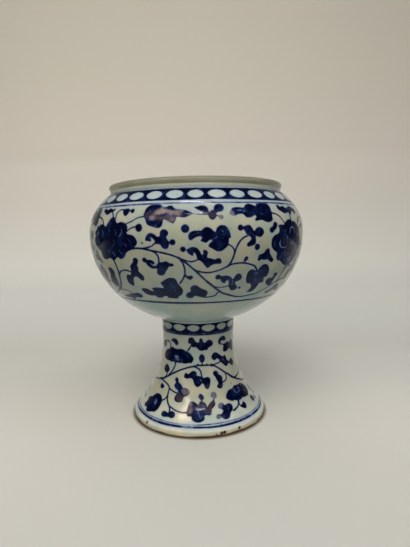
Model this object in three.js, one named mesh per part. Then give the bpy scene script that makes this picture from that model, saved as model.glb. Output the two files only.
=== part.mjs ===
// Footed porcelain bowl with a closed-in shoulder and a hollow trumpet foot, in millimetres, +Z up.
// It is thrown in four sections, turned, luted together with clay slip and fired as one body:
// a mouth ring, the upper and lower halves of the bowl, and the stem with its flared foot.
// The origin is on the axis, in the plane that the foot stands on.
import * as THREE from 'three';

// Foot and stem
const footRadius = 43.9;        // widest point of the foot's edge
const footEdgeHeight = 3.5;     // upright edge below the flare
const footEdgeRound = 1.1;      // rounding of that edge at the table
const footRingWidth = 3.4;      // flat ring that the foot stands on
const stemWaistRadius = 23.8;   // narrowest outside radius of the stem
const stemWaistHeight = 52;
const stemTopRadius = 24.2;
const stemHeight = 64.1;        // top face of the stem, which the bowl is luted to
const stemWall = 4.5;
const flareInset = 10.6;        // how far the flare draws in from the foot's edge before it turns up
const flareRise = 10;           // how far it climbs over that stretch
const flareFall = 24;           // length below the waist over which it leaves the stem's line

// Bowl
const bellyRadius = 68.5;       // greatest outside radius
const bowlDepth = 57.8;         // half height of the ellipse that the lower bowl follows
const shoulderDepth = 39.2;     // half height of the fuller curve that the shoulder follows
const shoulderFullness = 2.2;   // exponent of that curve: 2 is an ellipse, and more is squarer
const bellyWall = 4;
const bowlFloor = 5;            // thickness of the floor over the stem

// Mouth ring
const mouthRadius = 51;         // clear radius inside the mouth
const neckWall = 3.9;
const neckHeight = 0.8;         // slight groove under the lip
const lipProud = 0.6;           // how far the lip stands out from that groove
const lipHeight = 4.5;
const lipRound = 1.6;           // rounding of the lip's outer edge
const lipInnerRound = 0.8;
const shoulderStep = 0.9;       // how far the shoulder's edge stands out from the groove

// Slip between the sections
const slipThickness = 0.6;

// Facets
const facetsRound = 64;
const curveSteps = 9;
const roundSteps = 3;

// Colours of the fired body
const glazeColor = '#c9cbbd';
const slipColor = '#b9ad98';
const lipColor = '#a3957f';

// Height of a superellipse above its belly, where its radius has come in to a given one.
const quarterHeight = (radius, depth, exponent, reached) =>
  depth * (1 - (reached / radius) ** exponent) ** (1 / exponent);

// Radii and levels that the sections meet at
const neckRadius = mouthRadius + neckWall;
const lipRadius = neckRadius + lipProud;
const shoulderEdgeRadius = neckRadius + shoulderStep;
const bowlBase = stemHeight + slipThickness;
const bellySeam = bowlBase + quarterHeight(bellyRadius, bowlDepth, 2, stemTopRadius);
const upperBase = bellySeam + slipThickness;
const shoulderRise = quarterHeight(bellyRadius, shoulderDepth, shoulderFullness, shoulderEdgeRadius);
const shoulderTop = upperBase + shoulderRise;
const mouthBase = shoulderTop + slipThickness;
const lipBase = mouthBase + neckHeight;
const rimHeight = lipBase + lipHeight;
const innerBellyRadius = bellyRadius - bellyWall;

const point = (radius, height) => new THREE.Vector2(radius, height);

// Quarter of a superellipse from its belly circle to where its radius is endRadius, at endHeight.
const quarterCurve = (radius, depth, exponent, bellyHeight, endRadius, endHeight) => {
  const power = 2 / exponent;
  const lastAngle = Math.acos((endRadius / radius) ** (exponent / 2));
  const side = Math.sign(endHeight - bellyHeight);
  const points = [];
  for (let step = 0; step < curveSteps; step += 1) {
    const angle = lastAngle * step / curveSteps;
    const rise = depth * Math.sin(angle) ** power;
    points.push(point(radius * Math.cos(angle) ** power, bellyHeight + side * rise));
  }
  points.push(point(endRadius, endHeight));
  return points;
};

// Rounded corner about a centre, between two angles measured up from the outward direction.
const cornerArc = (radius, height, round, from, to) => {
  const points = [];
  for (let step = 0; step <= roundSteps; step += 1) {
    const angle = from + (to - from) * step / roundSteps;
    points.push(point(radius + round * Math.cos(angle), height + round * Math.sin(angle)));
  }
  return points;
};

// The trumpet's curve, from an edge at the foot in and up to the waist of the stem.
const flareCurve = (edgeRadius, edgeHeight, waistRadius) => new THREE.CubicBezierCurve(
  point(edgeRadius, edgeHeight),
  point(edgeRadius - flareInset, edgeHeight + flareRise),
  point(waistRadius, stemWaistHeight - flareFall),
  point(waistRadius, stemWaistHeight),
).getPoints(curveSteps);

// Turns an outline of (radius, height) points about +Z. It starts and ends on the axis, or is a ring.
const turned = (name, color, roughness, outline) => {
  const isRing = outline[0].x > 0;
  const profile = isRing ? [...outline, outline[0].clone()] : outline;
  const geometry = new THREE.LatheGeometry(profile, facetsRound);
  geometry.applyMatrix4(new THREE.Matrix4().set(1, 0, 0, 0, 0, 0, -1, 0, 0, 1, 0, 0, 0, 0, 0, 1));
  const mesh = new THREE.Mesh(geometry, new THREE.MeshStandardMaterial({ color, roughness, metalness: 0 }));
  mesh.name = name;
  return mesh;
};

// Flat ring of slip that joins the section below it to the one above.
const slipRing = (name, innerRadius, outerRadius, bottom) => turned(name, slipColor, 0.85, [
  point(innerRadius, bottom),
  point(outerRadius, bottom),
  point(outerRadius, bottom + slipThickness),
  point(innerRadius, bottom + slipThickness),
]);

// The stem and its foot are one thrown section, hollow from the table up to the bowl.
const stemFoot = () => turned('stem_foot', glazeColor, 0.2, [
  ...cornerArc(footRadius - footEdgeRound, footEdgeRound, footEdgeRound, -Math.PI / 2, 0),
  ...flareCurve(footRadius, footEdgeHeight, stemWaistRadius),
  point(stemTopRadius, stemHeight),
  point(stemTopRadius - stemWall, stemHeight),
  ...flareCurve(footRadius - footEdgeRound - footRingWidth, 0, stemWaistRadius - stemWall).reverse(),
]);

// Lower half of the bowl: an ellipse outside and a shallower one inside, so that the wall thickens
// from the belly down to the floor over the stem.
const lowerBowl = () => {
  const floorTop = bowlBase + bowlFloor;
  return turned('lower_bowl', glazeColor, 0.2, [
    point(0, bowlBase),
    ...quarterCurve(bellyRadius, bowlDepth, 2, bellySeam, stemTopRadius, bowlBase).reverse(),
    ...quarterCurve(innerBellyRadius, bellySeam - floorTop, 2, bellySeam, 0, floorTop),
  ]);
};

// Upper half of the bowl: the shoulder closes in to the mouth ring, which sets the inner curve's end.
const upperBowl = () => {
  const innerRise = quarterHeight(innerBellyRadius, 1, shoulderFullness, mouthRadius);
  const innerDepth = shoulderRise / innerRise;
  const outside = quarterCurve(
    bellyRadius, shoulderDepth, shoulderFullness, upperBase, shoulderEdgeRadius, shoulderTop,
  );
  const inside = quarterCurve(
    innerBellyRadius, innerDepth, shoulderFullness, upperBase, mouthRadius, shoulderTop,
  );
  return turned('upper_bowl', glazeColor, 0.2, [...outside, ...inside.reverse()]);
};

// Mouth ring: a shallow neck under an upright lip with rounded edges.
const mouthRing = () => turned('mouth_ring', lipColor, 0.4, [
  point(neckRadius, mouthBase),
  point(neckRadius, lipBase),
  point(lipRadius, lipBase + lipProud),
  ...cornerArc(lipRadius - lipRound, rimHeight - lipRound, lipRound, 0, Math.PI / 2),
  ...cornerArc(mouthRadius + lipInnerRound, rimHeight - lipInnerRound, lipInnerRound, Math.PI / 2, Math.PI),
  point(mouthRadius, mouthBase),
]);

const group = new THREE.Group();
group.name = 'footed_bowl';
group.add(
  stemFoot(),
  slipRing('stem_luting', stemTopRadius - stemWall, stemTopRadius, stemHeight),
  lowerBowl(),
  slipRing('belly_luting', innerBellyRadius, bellyRadius, bellySeam),
  upperBowl(),
  slipRing('mouth_luting', mouthRadius, neckRadius, shoulderTop),
  mouthRing(),
);

export default group;
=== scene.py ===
import math

import bpy
import numpy as np
from mathutils import Matrix, Vector


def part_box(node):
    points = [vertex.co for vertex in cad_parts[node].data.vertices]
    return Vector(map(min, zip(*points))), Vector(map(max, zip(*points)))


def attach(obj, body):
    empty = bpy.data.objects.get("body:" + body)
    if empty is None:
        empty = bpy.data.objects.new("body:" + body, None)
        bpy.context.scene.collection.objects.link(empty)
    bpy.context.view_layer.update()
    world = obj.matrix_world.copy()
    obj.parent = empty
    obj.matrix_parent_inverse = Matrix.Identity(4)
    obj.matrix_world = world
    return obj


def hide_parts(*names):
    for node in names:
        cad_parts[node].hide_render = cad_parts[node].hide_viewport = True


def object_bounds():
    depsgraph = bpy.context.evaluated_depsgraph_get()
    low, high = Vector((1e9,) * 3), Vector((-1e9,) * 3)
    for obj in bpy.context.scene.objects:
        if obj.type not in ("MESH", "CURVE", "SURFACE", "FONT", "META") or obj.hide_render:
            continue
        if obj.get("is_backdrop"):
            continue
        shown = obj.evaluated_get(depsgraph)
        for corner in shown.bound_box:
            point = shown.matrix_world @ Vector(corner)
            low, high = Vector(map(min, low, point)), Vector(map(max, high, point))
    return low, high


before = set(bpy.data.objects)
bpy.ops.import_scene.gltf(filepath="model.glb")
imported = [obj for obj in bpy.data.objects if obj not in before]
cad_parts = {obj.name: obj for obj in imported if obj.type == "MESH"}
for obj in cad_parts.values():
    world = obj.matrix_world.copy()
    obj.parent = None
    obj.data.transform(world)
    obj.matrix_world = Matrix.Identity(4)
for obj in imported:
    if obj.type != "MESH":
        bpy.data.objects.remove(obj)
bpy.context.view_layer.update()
mm = 0.001
weld = 2e-6           # metres under which vertices are one
smoothUnder = 35      # degrees


def linear(hexColor):  # sRGB hex to linear RGBA
    parts = [int(hexColor[i:i + 2], 16) / 255 for i in (1, 3, 5)]
    return [c / 12.92 if c <= 0.04045 else ((c + 0.055) / 1.055) ** 2.4 for c in parts] + [1.0]


def addNode(tree, kind, settings=None, links=None):  # one node with its settings, values and incoming links
    node = tree.nodes.new(kind)
    for key, value in (settings or {}).items():
        if isinstance(key, str) and hasattr(node, key):
            setattr(node, key, value)
        else:
            node.inputs[key].default_value = value
    for key, source in (links or {}).items():
        tree.links.new(source, node.inputs[key])
    return node


def setStops(ramp, stops):  # gives a colour ramp its (position, hex) stops, in rising order
    while len(ramp.elements) < len(stops):
        ramp.elements.new(0.5)
    for element, (at, tone) in zip(ramp.elements, stops):
        element.position, element.color = at, linear(tone)


# The camera stands where the photograph was taken from: 27 cm in front, at the height of the belly

view = {
    "distance": 273.98 * mm,
    "height": 120.51 * mm,
    "pitchDown": 5.76,         # degrees
    "roll": 1.06,
    "lens": 27.05,             # mm
    "sensor": 36,
    "shiftRight": 8.02 / 547,  # the axis stands eight pixels left of the middle of a frame 547 pixels high
}

camData = bpy.data.cameras.new("camera")
camData.lens = view["lens"]
camData.sensor_width = view["sensor"]
camData.shift_x = view["shiftRight"]
camera = bpy.data.objects.new("camera", camData)
bpy.context.scene.collection.objects.link(camera)
turn = Matrix.Rotation(math.radians(90 - view["pitchDown"]), 3, "X")
turn = turn @ Matrix.Rotation(math.radians(-view["roll"]), 3, "Z")
camera.rotation_euler = turn.to_euler()
camera.location = (0, -view["distance"], view["height"])
bpy.context.scene.camera = camera
bpy.context.scene.view_settings.view_transform = "Standard"


# Curves that the profiles are drawn with, as (radius, height) in millimetres

def quarter(radius, depth, fullness, bellyHeight, endRadius, endHeight, steps):
    # a superellipse from the belly circle to where its radius is endRadius
    power = 2 / fullness
    last = math.acos(min(1.0, (endRadius / radius) ** (fullness / 2)))
    side = 1 if endHeight > bellyHeight else -1
    points = [(radius * math.cos(a) ** power, bellyHeight + side * depth * math.sin(a) ** power)
              for a in np.linspace(0, last, steps)]
    return points[:-1] + [(endRadius, endHeight)]


def corner(radius, height, rounding, start, end, steps):
    return [(radius + rounding * math.cos(a), height + rounding * math.sin(a))
            for a in np.linspace(start, end, steps)]


def smoothCurve(points, closed=False):  # a curve through the points, four steps between each two
    path = np.array(points, float)
    if closed:
        path = np.vstack([path[-1:], path, path[:2]])
    else:
        path = np.vstack([2 * path[0] - path[1], path, 2 * path[-1] - path[-2]])
    t = np.linspace(0, 1, 5)[:-1, None]
    out = []
    for a, b, c, d in zip(path[:-3], path[1:-2], path[2:-1], path[3:]):
        bend = (2 * a - 5 * b + 4 * c - d) * t ** 2 + (3 * b - a - 3 * c + d) * t ** 3
        out.append((2 * b + (c - a) * t + bend) / 2)
    return np.vstack(out if closed else out + [path[-2:-1]])


def alongPath(points):  # length from the first point to each
    return np.concatenate([[0], np.cumsum(np.hypot(*np.diff(np.array(points), axis=0).T))])


def spaced(points, step):  # the same curve with even rows, for painting on
    path, along = np.array(points), alongPath(points)
    places = np.linspace(0, along[-1], max(2, round(along[-1] / step) + 1))
    return [(float(np.interp(s, along, path[:, 0])), float(np.interp(s, along, path[:, 1]))) for s in places]


def turnedPiece(name, outline, around):
    # the outline is drawn as a ring of vertices and turned about the axis, as on a wheel
    bpy.ops.object.select_all(action="DESELECT")
    bpy.ops.mesh.primitive_circle_add(vertices=len(outline), radius=bellyRadius * mm)
    piece = bpy.context.object
    piece.name = piece.data.name = name
    for vertex, (radius, height) in zip(piece.data.vertices, outline):
        vertex.co = (0, -radius * mm, height * mm)
    bpy.ops.object.mode_set(mode="EDIT")
    bpy.ops.mesh.select_all(action="DESELECT")
    bpy.ops.object.mode_set(mode="OBJECT")
    for edge in piece.data.edges:  # an outline that starts and ends on the axis has no edge along it
        edge.select = all(abs(piece.data.vertices[v].co.y) < weld for v in edge.vertices)
    bpy.ops.object.mode_set(mode="EDIT")
    bpy.ops.mesh.delete(type="EDGE_FACE")
    bpy.ops.object.mode_set(mode="OBJECT")
    bpy.ops.object.modifier_add(type="SCREW")
    lathe = piece.modifiers[-1]
    lathe.axis, lathe.angle, lathe.screw_offset = "Z", 2 * math.pi, 0
    lathe.steps = lathe.render_steps = around
    lathe.use_merge_vertices, lathe.merge_threshold = True, weld
    bpy.ops.object.modifier_apply(modifier=lathe.name)
    bpy.ops.object.mode_set(mode="EDIT")
    bpy.ops.mesh.select_all(action="SELECT")
    bpy.ops.mesh.remove_doubles(threshold=weld)
    bpy.ops.mesh.normals_make_consistent(inside=False)
    bpy.ops.object.mode_set(mode="OBJECT")
    bpy.ops.object.shade_smooth_by_angle(angle=math.radians(smoothUnder))
    return piece


# The painter's strokes. Each is an outline of (across, up), or a line of (across, up, half width), in
# millimetres on the unrolled surface, where across is measured at one radius all the way up.

brush = {                     # millimetres
    "spread": 0.08,           # how far the glaze carried a line past each side
    "melt": 0.25,             # strokes that come this near run together
    "reach": 1.7,             # distances are worked out this far from a stroke
    "beyond": 3.0,            # and count as this past that
    "markEdge": 0.35,         # over which a small round mark fades
    "sway": 0.1,              # how far a ring is off level
    "ovalsVary": (0.3, 0.12, 0.25),    # how far an oval may be off to the side, taller and wider
}


def filled(*points):  # a leaf or petal painted full, given by its outline
    return smoothCurve(points, closed=True)


def stem(width, *points):  # a brush line of one width
    path = smoothCurve(points)
    return np.column_stack([path, np.full(len(path), width / 2 + brush["spread"])])


def dot(across, up, radius):
    return np.array([(across, up, radius)] * 2, float)


def shifted(shapes, across, stretch=1.0, about=0.0):
    # the same strokes further round, drawn in where there is less room
    return [np.column_stack([about + (shape[:, 0] - about) * stretch + across, shape[:, 1:]])
            for shape in shapes]


def unrolled(outside, steps, zero, reference):
    # a turned wall laid flat. Its rows run up from the height zero and are measured along the wall, and its
    # steps run round it, where places across are given at the reference radius.
    heights, lengths = np.array(outside)[:, 1], alongPath(outside)
    start = np.interp(zero, heights, lengths)
    return {"up": lengths - start, "radius": np.array(outside)[:, 0], "height": heights, "steps": steps,
            "reference": reference, "angle": (2 * math.pi * np.arange(steps) / steps)[None, :],
            "upTo": lambda height: np.interp(height, heights, lengths) - start}


def nearestStroke(wall, shapes):
    # the distance in millimetres from each row and step of a wall to the nearest stroke's edge, less than
    # nothing inside the stroke, where strokes that touch run together
    up, around, melt = wall["up"], wall["steps"], brush["melt"]
    field = np.full((len(up), around), brush["beyond"])
    pitch = 2 * math.pi * wall["reference"] / around
    for shape in shapes:
        solid = shape.shape[1] == 2
        reach = brush["reach"] + (0 if solid else shape[:, 2].max())
        rows = np.arange(*np.searchsorted(up, (shape[:, 1].min() - reach, shape[:, 1].max() + reach)))
        if len(rows) == 0:
            continue
        scale = (wall["radius"][rows] / wall["reference"])[:, None]
        side = reach / scale.min()
        steps = np.arange(math.floor((shape[:, 0].min() - side) / pitch),
                          math.ceil((shape[:, 0].max() + side) / pitch))
        x, y = steps[None, :] * pitch, up[rows][:, None]
        ends = np.vstack([shape, shape[:1]]) if solid else shape
        gap = np.full((len(rows), len(steps)), 3 * brush["beyond"])
        inside = np.zeros((len(rows), len(steps)), bool)
        for start, end in zip(ends[:-1], ends[1:]):
            (x0, y0), (x1, y1) = start[:2], end[:2]
            ax, bx, ay, by = (x0 - x) * scale, (x1 - x0) * scale, y0 - y, y1 - y0
            t = np.clip(-(ax * bx + ay * by) / (bx * bx + by * by + 1e-9), 0, 1)
            gap = np.minimum(gap, np.hypot(ax + t * bx, ay + t * by) - (0 if solid else start[2]))
            if solid:
                inside ^= ((y0 > y) != (y1 > y)) & (x0 - (x1 - x0) * ay / (by + 1e-12) > x)
        gap = np.where(inside, -gap, gap)
        window = np.ix_(rows, steps % around)
        old = field[window]
        blend = np.clip(0.5 + 0.5 * (old - gap) / melt, 0, 1)
        field[window] = old * (1 - blend) + gap * blend - melt * blend * (1 - blend)
    return field


def within(distance, soft, most=1.0, atEdge=0.0):  # 0 outside a stroke, rising over its soft edge
    return np.clip(atEdge - distance / soft, 0, most)


def ringLine(wall, height, width):  # a ring drawn on the turning wheel, never quite level
    angle, at = wall["angle"], wall["upTo"](height)
    drift = brush["sway"] * (np.sin(3 * angle + at) + 0.6 * np.sin(7 * angle + 2 * at))
    return np.abs(wall["up"][:, None] - at - drift) - width / 2 * (1 + 0.15 * np.sin(5 * angle + at))


def whiteOvals(wall, row, middle):  # a row of ovals left white in a dark band, each a little different
    angle, up, radius = wall["angle"], wall["up"][:, None], wall["radius"][:, None]
    step = 2 * math.pi / row["count"]
    place = (angle - math.radians(row["turned"])) / step
    cell = np.floor(place)
    aside, taller, wider = brush["ovalsVary"]
    off = (place - cell - 0.5) * step * radius - aside * np.sin(cell * 12.99)
    high = np.where(up > middle, row["above"], row["below"]) + taller * np.cos(cell * 5.3)
    x, y = np.abs(off) / (row["halfWide"] + wider * np.cos(cell * 3.1)), np.abs(up - middle) / high
    fullness = row["fullness"]
    return ((x ** fullness + y ** fullness) ** (1 / fullness) - 1) * row["below"]


def marks(wall, level, places):  # small round marks, each at (degrees, level, radius)
    inside = np.zeros((len(wall["up"]), wall["steps"]))
    for degrees, at, size in places:
        off = (wall["angle"] - math.radians(degrees) + np.pi) % (2 * np.pi) - np.pi
        away = np.hypot(off * wall["radius"][:, None], level[:, None] - at)
        inside = np.maximum(inside, within(away - size, brush["markEdge"]))
    return inside


def setAttributes(piece, outside, around, fields):
    # hands each painted row and step to the vertex that stands there, and 0 or clear glaze to the others
    co = np.empty(len(piece.data.vertices) * 3)
    piece.data.vertices.foreach_get("co", co)
    x, y, z = co.reshape(-1, 3).T / mm
    rows = np.array(outside)
    row = np.clip(np.searchsorted(rows[:, 1], z - 1e-3), 0, len(rows) - 1)
    step = np.round(np.arctan2(x, -y) / (2 * math.pi / around)).astype(int) % around
    painted = (np.abs(np.hypot(x, y) - rows[row, 0]) < 0.02) & (np.abs(z - rows[row, 1]) < 0.02)
    for name, (grid, elsewhere) in fields.items():
        grid = np.broadcast_to(grid, (len(rows), around))
        attribute = piece.data.attributes.new(name, "FLOAT", "POINT")
        attribute.data.foreach_set("value", np.where(painted, grid[row, step], elsewhere).astype(np.float32))


scrollBetween = [  # the running stem between two peonies, with its buds and leaves
    # the running stem and its branches
    stem(0.95, (-36, 43.4), (-31, 44), (-27, 43.6), (-24, 42.9), (-19, 42), (-14, 40.8), (-10.5, 39.5),
        (-8.2, 38.2), (-5, 35.8), (-2, 32.9), (0.6, 30.2), (3, 27.6), (5.6, 24.9)),
    stem(1.15, (5.6, 24.9), (7.8, 23), (10, 21), (12.2, 19.2), (14.5, 17.3), (17, 16.1), (20, 15),
        (23, 13.9), (26, 13.1)),
    stem(0.9, (26, 13.1), (30, 12.8), (34, 13.2), (39, 13.8), (43, 15), (46.6, 16.6)),
    stem(0.9, (-1, 32), (2, 31), (5, 30.5), (8, 30.7), (12, 31.8), (15, 33.2), (18, 34.7), (22, 35.3),
        (25.5, 35.1), (28.6, 34.3), (31.6, 33.3), (33, 31.9), (34.6, 30)),
    stem(0.9, (15.9, 33.6), (17.6, 36), (18.6, 38.6), (19.4, 41.6), (20.4, 44.4), (22, 47), (24.2, 48.8),
        (26.6, 49.6)),
    stem(0.75, (19.3, 41.3), (18.8, 42.6), (17.8, 44), (15.8, 45.3)),
    stem(0.85, (-9, 39), (-7.1, 36), (-6.3, 33), (-6.4, 30), (-7.6, 27), (-9.6, 24.2)),
    stem(1.1, (-6.4, 29.6), (-5.2, 27.9), (-3.9, 27.6)),
    stem(0.9, (-23, 42.7), (-21, 41.6), (-19.8, 40.2), (-19.4, 38.2), (-19.6, 36)),
    stem(0.8, (-27, 44.1), (-23, 44.9), (-20.8, 46.4)),
    stem(0.75, (-9, 38.9), (-5, 37.2), (-2.2, 36.8), (0.6, 37.8)),
    stem(0.7, (-37.5, 56.8), (-34, 58), (-31, 59.6), (-26.8, 60.4)),
    stem(0.7, (-37, 52.8), (-34, 54.5), (-31, 55.2)),
    stem(0.7, (8.2, 22.4), (11.4, 21.1), (14.8, 21), (18.4, 21.8)),
    stem(0.9, (13, 18.8), (12.2, 16.8), (11, 15.2), (8, 14.2), (4.8, 14), (1.4, 14.9)),
    stem(0.6, (-2.6, 61.2), (1, 61), (6.4, 60.8)),
    stem(0.8, (42.6, 61.6), (46, 60.8), (48.8, 59.4), (50.6, 57.4), (51.8, 55.8)),
    # bud under the shoulder, with its tail leaf
    filled((-27.2, 60.5), (-27.1, 62.5), (-26.5, 64.7), (-25, 66.3), (-23, 67.2), (-20.6, 67.6),
        (-18.6, 67.1), (-17.3, 65.7), (-15.6, 65.2), (-14.2, 66), (-12.2, 65.9), (-11.4, 65), (-10, 64),
        (-8, 63.8), (-5, 63.3), (-3, 62.4), (-1.7, 61.4), (-3.2, 60.2), (-5.8, 59.2), (-8.4, 59.5),
        (-9.8, 59.4), (-9.9, 58.2), (-10.9, 56.3), (-12.4, 56.7), (-14.2, 57.6), (-15.8, 58.4), (-16.4, 57),
        (-16.8, 55.3), (-18, 54.3), (-19.6, 54.1), (-21.8, 54.8), (-23.9, 55.5), (-25.4, 56.7),
        (-26, 58.4)),
    dot(-29.5, 54.5, 2.15),
    # trefoil and its curl
    filled((-17.9, 52), (-16.9, 53.4), (-15.3, 53.5), (-13.9, 52.6), (-13.6, 51), (-14.6, 49.6),
        (-14, 48.2), (-13.3, 46.8), (-13.5, 45), (-14.4, 43.7), (-15.7, 43.4), (-17.1, 44.3), (-18.2, 45.8),
        (-20.6, 46.2), (-20.7, 47.6), (-22, 48.9), (-22.8, 47.3), (-24.2, 47.6), (-26, 47.9), (-25.4, 50),
        (-24.3, 51.4), (-22.6, 51.8), (-20.8, 51.1), (-19.2, 49.8), (-18.1, 50.3)),
    dot(-11.6, 46.9, 1.6), stem(0.8, (-14, 46.9), (-11.6, 46.9)), dot(-5.3, 53.6, 2.2),
    dot(-3.3, 27.9, 1.15), dot(-3.9, 27.6, 1.3),
    # the bud in the middle: a forked tail, two leaves and the flower's head
    filled((-3, 47.6), (-4, 49.2), (-3.4, 51.4), (-1.6, 52.4), (0.8, 52.6), (2.5, 52.6), (3.8, 53.9),
        (5.3, 54.3), (6.9, 53.7), (8.3, 52.4), (9.3, 51.7), (9.7, 53), (10.4, 54.2), (11.9, 55),
        (13.9, 54.9), (15.4, 53.8), (16.4, 52), (16.9, 50.2), (17.2, 48.5), (16.2, 48.4), (16, 46.4),
        (15.6, 44.7), (14.4, 43.4), (12.7, 42.1), (11, 41.7), (9, 42.4), (7.2, 43.6), (5.7, 44.3),
        (6.1, 45.8), (7.6, 47.5), (6.3, 47.6), (4.8, 46.3), (3.3, 46.7), (1.9, 47.5), (2.8, 49),
        (1.6, 49.6), (-0.4, 49.1), (-1.6, 48.2)),
    # three-leaved sprig to the right of it
    dot(22.2, 53.6, 1.65),
    filled((23.4, 54), (25.2, 54.8), (27, 55), (28.2, 54.2), (29, 52.8), (29.8, 51.8), (30.6, 52.8),
        (31.8, 53.7), (33.6, 53.8), (35.2, 52.8), (35.9, 51.2), (35.2, 49.6), (33.6, 48.6), (31.9, 48.8),
        (30.7, 49), (31, 47.4), (30.8, 45.6), (29.6, 44.4), (28, 44), (26.6, 43.7), (25.5, 44.6),
        (26, 45.9), (27.2, 46.8), (28, 48), (27, 49.2), (25.4, 49.9), (24.6, 51.4), (23.6, 52.8)),
    dot(31.9, 43.5, 1.75),
    # curled sprig under it
    dot(-6.6, 43.3, 1.5),
    filled((-5, 43), (-3.8, 43.8), (-2.4, 44.5), (-0.6, 44.3), (0.8, 43.3), (1.9, 41.8), (2.6, 40.2),
        (3.2, 41), (3, 42.2), (3.8, 42.9), (5.1, 42.4), (5.7, 41.2), (5.3, 39.8), (5.4, 38.7), (7, 38.4),
        (9, 37.8), (10.6, 38.4), (12, 38.1), (12.7, 36.7), (12.4, 35.4), (10.6, 35.2), (8.6, 35), (7, 34),
        (5.6, 33), (4.2, 34.1), (3.2, 35.7), (1.9, 37), (0.4, 37.6), (0, 39), (-0.5, 40.6), (-1.4, 41.6),
        (-1.7, 39.7), (-3, 40.2), (-4.4, 41.4)),
    # curled sprig and leaf to the left
    dot(-27.5, 37.7, 1.45),
    filled((-26.8, 37.2), (-25.2, 38), (-23.2, 37.7), (-21.9, 36.5), (-22.4, 35.1), (-23.8, 34.8),
        (-21.6, 34.6), (-20.4, 36), (-18.8, 36.6), (-17.2, 36.8), (-15.6, 37.2), (-14, 36.2), (-12.3, 35.8),
        (-11.6, 34.8), (-12.8, 34.1), (-14.2, 34.1), (-15.2, 32.8), (-16.4, 31.4), (-17.1, 30), (-18.6, 29),
        (-20.2, 29), (-21.5, 30), (-21.4, 31.6), (-20.9, 33), (-22.4, 32.9), (-24, 33), (-25.6, 34),
        (-26.8, 35.6)),
    # the low bud with its tail of leaves
    filled((-21, 24.2), (-19.8, 25.2), (-18, 26.4), (-16, 27.5), (-13.8, 27.8), (-11.9, 27.2),
        (-11.1, 25.8), (-10.6, 24), (-9.2, 21.6), (-8.3, 19.6), (-8.8, 17.4), (-10, 15.7), (-11.7, 14.6),
        (-12.7, 13.2), (-15, 13.1), (-17, 13.4), (-19, 13.3), (-18.9, 14.7), (-21, 14.8), (-22.4, 13.9),
        (-24.2, 13.3), (-26.4, 13.6), (-27.4, 14.8), (-29.4, 14.9), (-31.8, 15.1), (-34, 16.1), (-35, 17.6),
        (-35.6, 19), (-34.4, 20.2), (-32.4, 20.3), (-30.4, 19.8), (-28.5, 18.5), (-27.2, 18.6),
        (-27.6, 20.4), (-25.6, 21.1), (-23.6, 21.3), (-21.6, 20.9), (-19.6, 21.1), (-20.4, 22.6)),
    # leaf and dot beside it
    filled((-4.1, 20.2), (-3.5, 22), (-2, 23), (-0.2, 22.8), (1.1, 21.6), (2.6, 20.5), (4.3, 19.8),
        (5.8, 18.8), (6.3, 17.2), (5.8, 15.5), (4.6, 14.3), (2.4, 14.4), (0.2, 14.9), (-1.6, 15.2),
        (-2.8, 13.9), (-4.2, 13.4), (-6, 13.7), (-7.1, 15), (-6.8, 16.7), (-5.5, 18), (-3.9, 18.6)),
    # curled sprig low on the right
    dot(11.4, 27.6, 1.6),
    filled((12.6, 28), (14, 28.3), (15.8, 28.5), (17.8, 28), (19.3, 26.8), (20.2, 26), (20.9, 27.8),
        (22.2, 29.2), (24, 29), (25.3, 27.5), (25.1, 25.7), (23.7, 24.7), (22.2, 24.2), (22.1, 22.8),
        (23.4, 21.6), (24.2, 20.1), (23.3, 18.7), (21.6, 18.2), (19.9, 18.8), (18.9, 20.3), (18.2, 21.4),
        (18.1, 23), (17.6, 24.6), (16.6, 25.4), (15.8, 23.7), (14.4, 23.9), (13.2, 25.2), (12.7, 26.6)),
    dot(25.6, 19.9, 0.95), dot(25.4, 36.6, 0.9), dot(26, 37.7, 1.15),
    # leaves under the shoulder
    filled((-0.9, 64.9), (1, 65.2), (2.6, 65.7), (4.2, 65.6), (5.6, 64.8), (6.4, 63.4), (6.6, 62),
        (7.8, 62.9), (8.9, 63), (9.2, 64.8), (10.4, 66.3), (12, 66.7), (13.6, 66.1), (14.4, 64.6), (14, 63),
        (12.8, 62), (11.2, 61.8), (10.1, 61), (10.2, 59.6), (9.4, 58.4), (8.3, 57.7), (7, 58.2),
        (6.1, 59.6), (5.8, 61), (4, 61.2), (2.4, 62.4), (0.6, 63.4), (-0.4, 64.2)),
    dot(12.5, 59.2, 1.2), stem(0.7, (10, 60.2), (12.5, 59.2)),
    # bud under the shoulder on the right
    filled((16.9, 60.8), (17.6, 62.6), (18.8, 64), (20.6, 64.6), (23, 64.6), (25.2, 64.4), (26.2, 65.6),
        (27.6, 66.5), (29.5, 66.7), (31.4, 66), (33, 65.5), (34, 66.8), (36.4, 67.6), (38.8, 67.9),
        (41, 67.3), (42.5, 66), (43.1, 64), (43, 61.8), (42.8, 59.8), (42.8, 58), (41.6, 56.8),
        (39.6, 56.2), (37.6, 56.4), (35.6, 57.2), (33.6, 57.3), (31.4, 56.9), (30.7, 57.6), (31.8, 59.4),
        (30.6, 59.9), (29.4, 59.2), (27.6, 58.7), (26, 58.9), (24.9, 59.8), (24, 60.6), (21.8, 60.6),
        (20.4, 60), (18.6, 59.8)),
    # three-lobed leaf low on the right
    filled((28.3, 29.8), (29.6, 31), (31.6, 31.2), (33.2, 30.4), (34.8, 30.6), (35.4, 31.9), (36.6, 33.1),
        (38.6, 33.9), (40.6, 33.5), (42.2, 32), (43.4, 30), (43.8, 28), (43, 26), (41.4, 25.4), (41.6, 24),
        (42, 22.6), (40.8, 21.9), (39.3, 22), (38.8, 20.6), (38.3, 18.8), (37.2, 17), (35.4, 16),
        (33.4, 16), (31.8, 16.7), (33.3, 18), (33.7, 19.8), (32.9, 21.4), (31.8, 22.3), (30.4, 22.3),
        (29, 23.2), (28.3, 25), (28, 27.4)),
    # leaves beside the right peony
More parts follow.
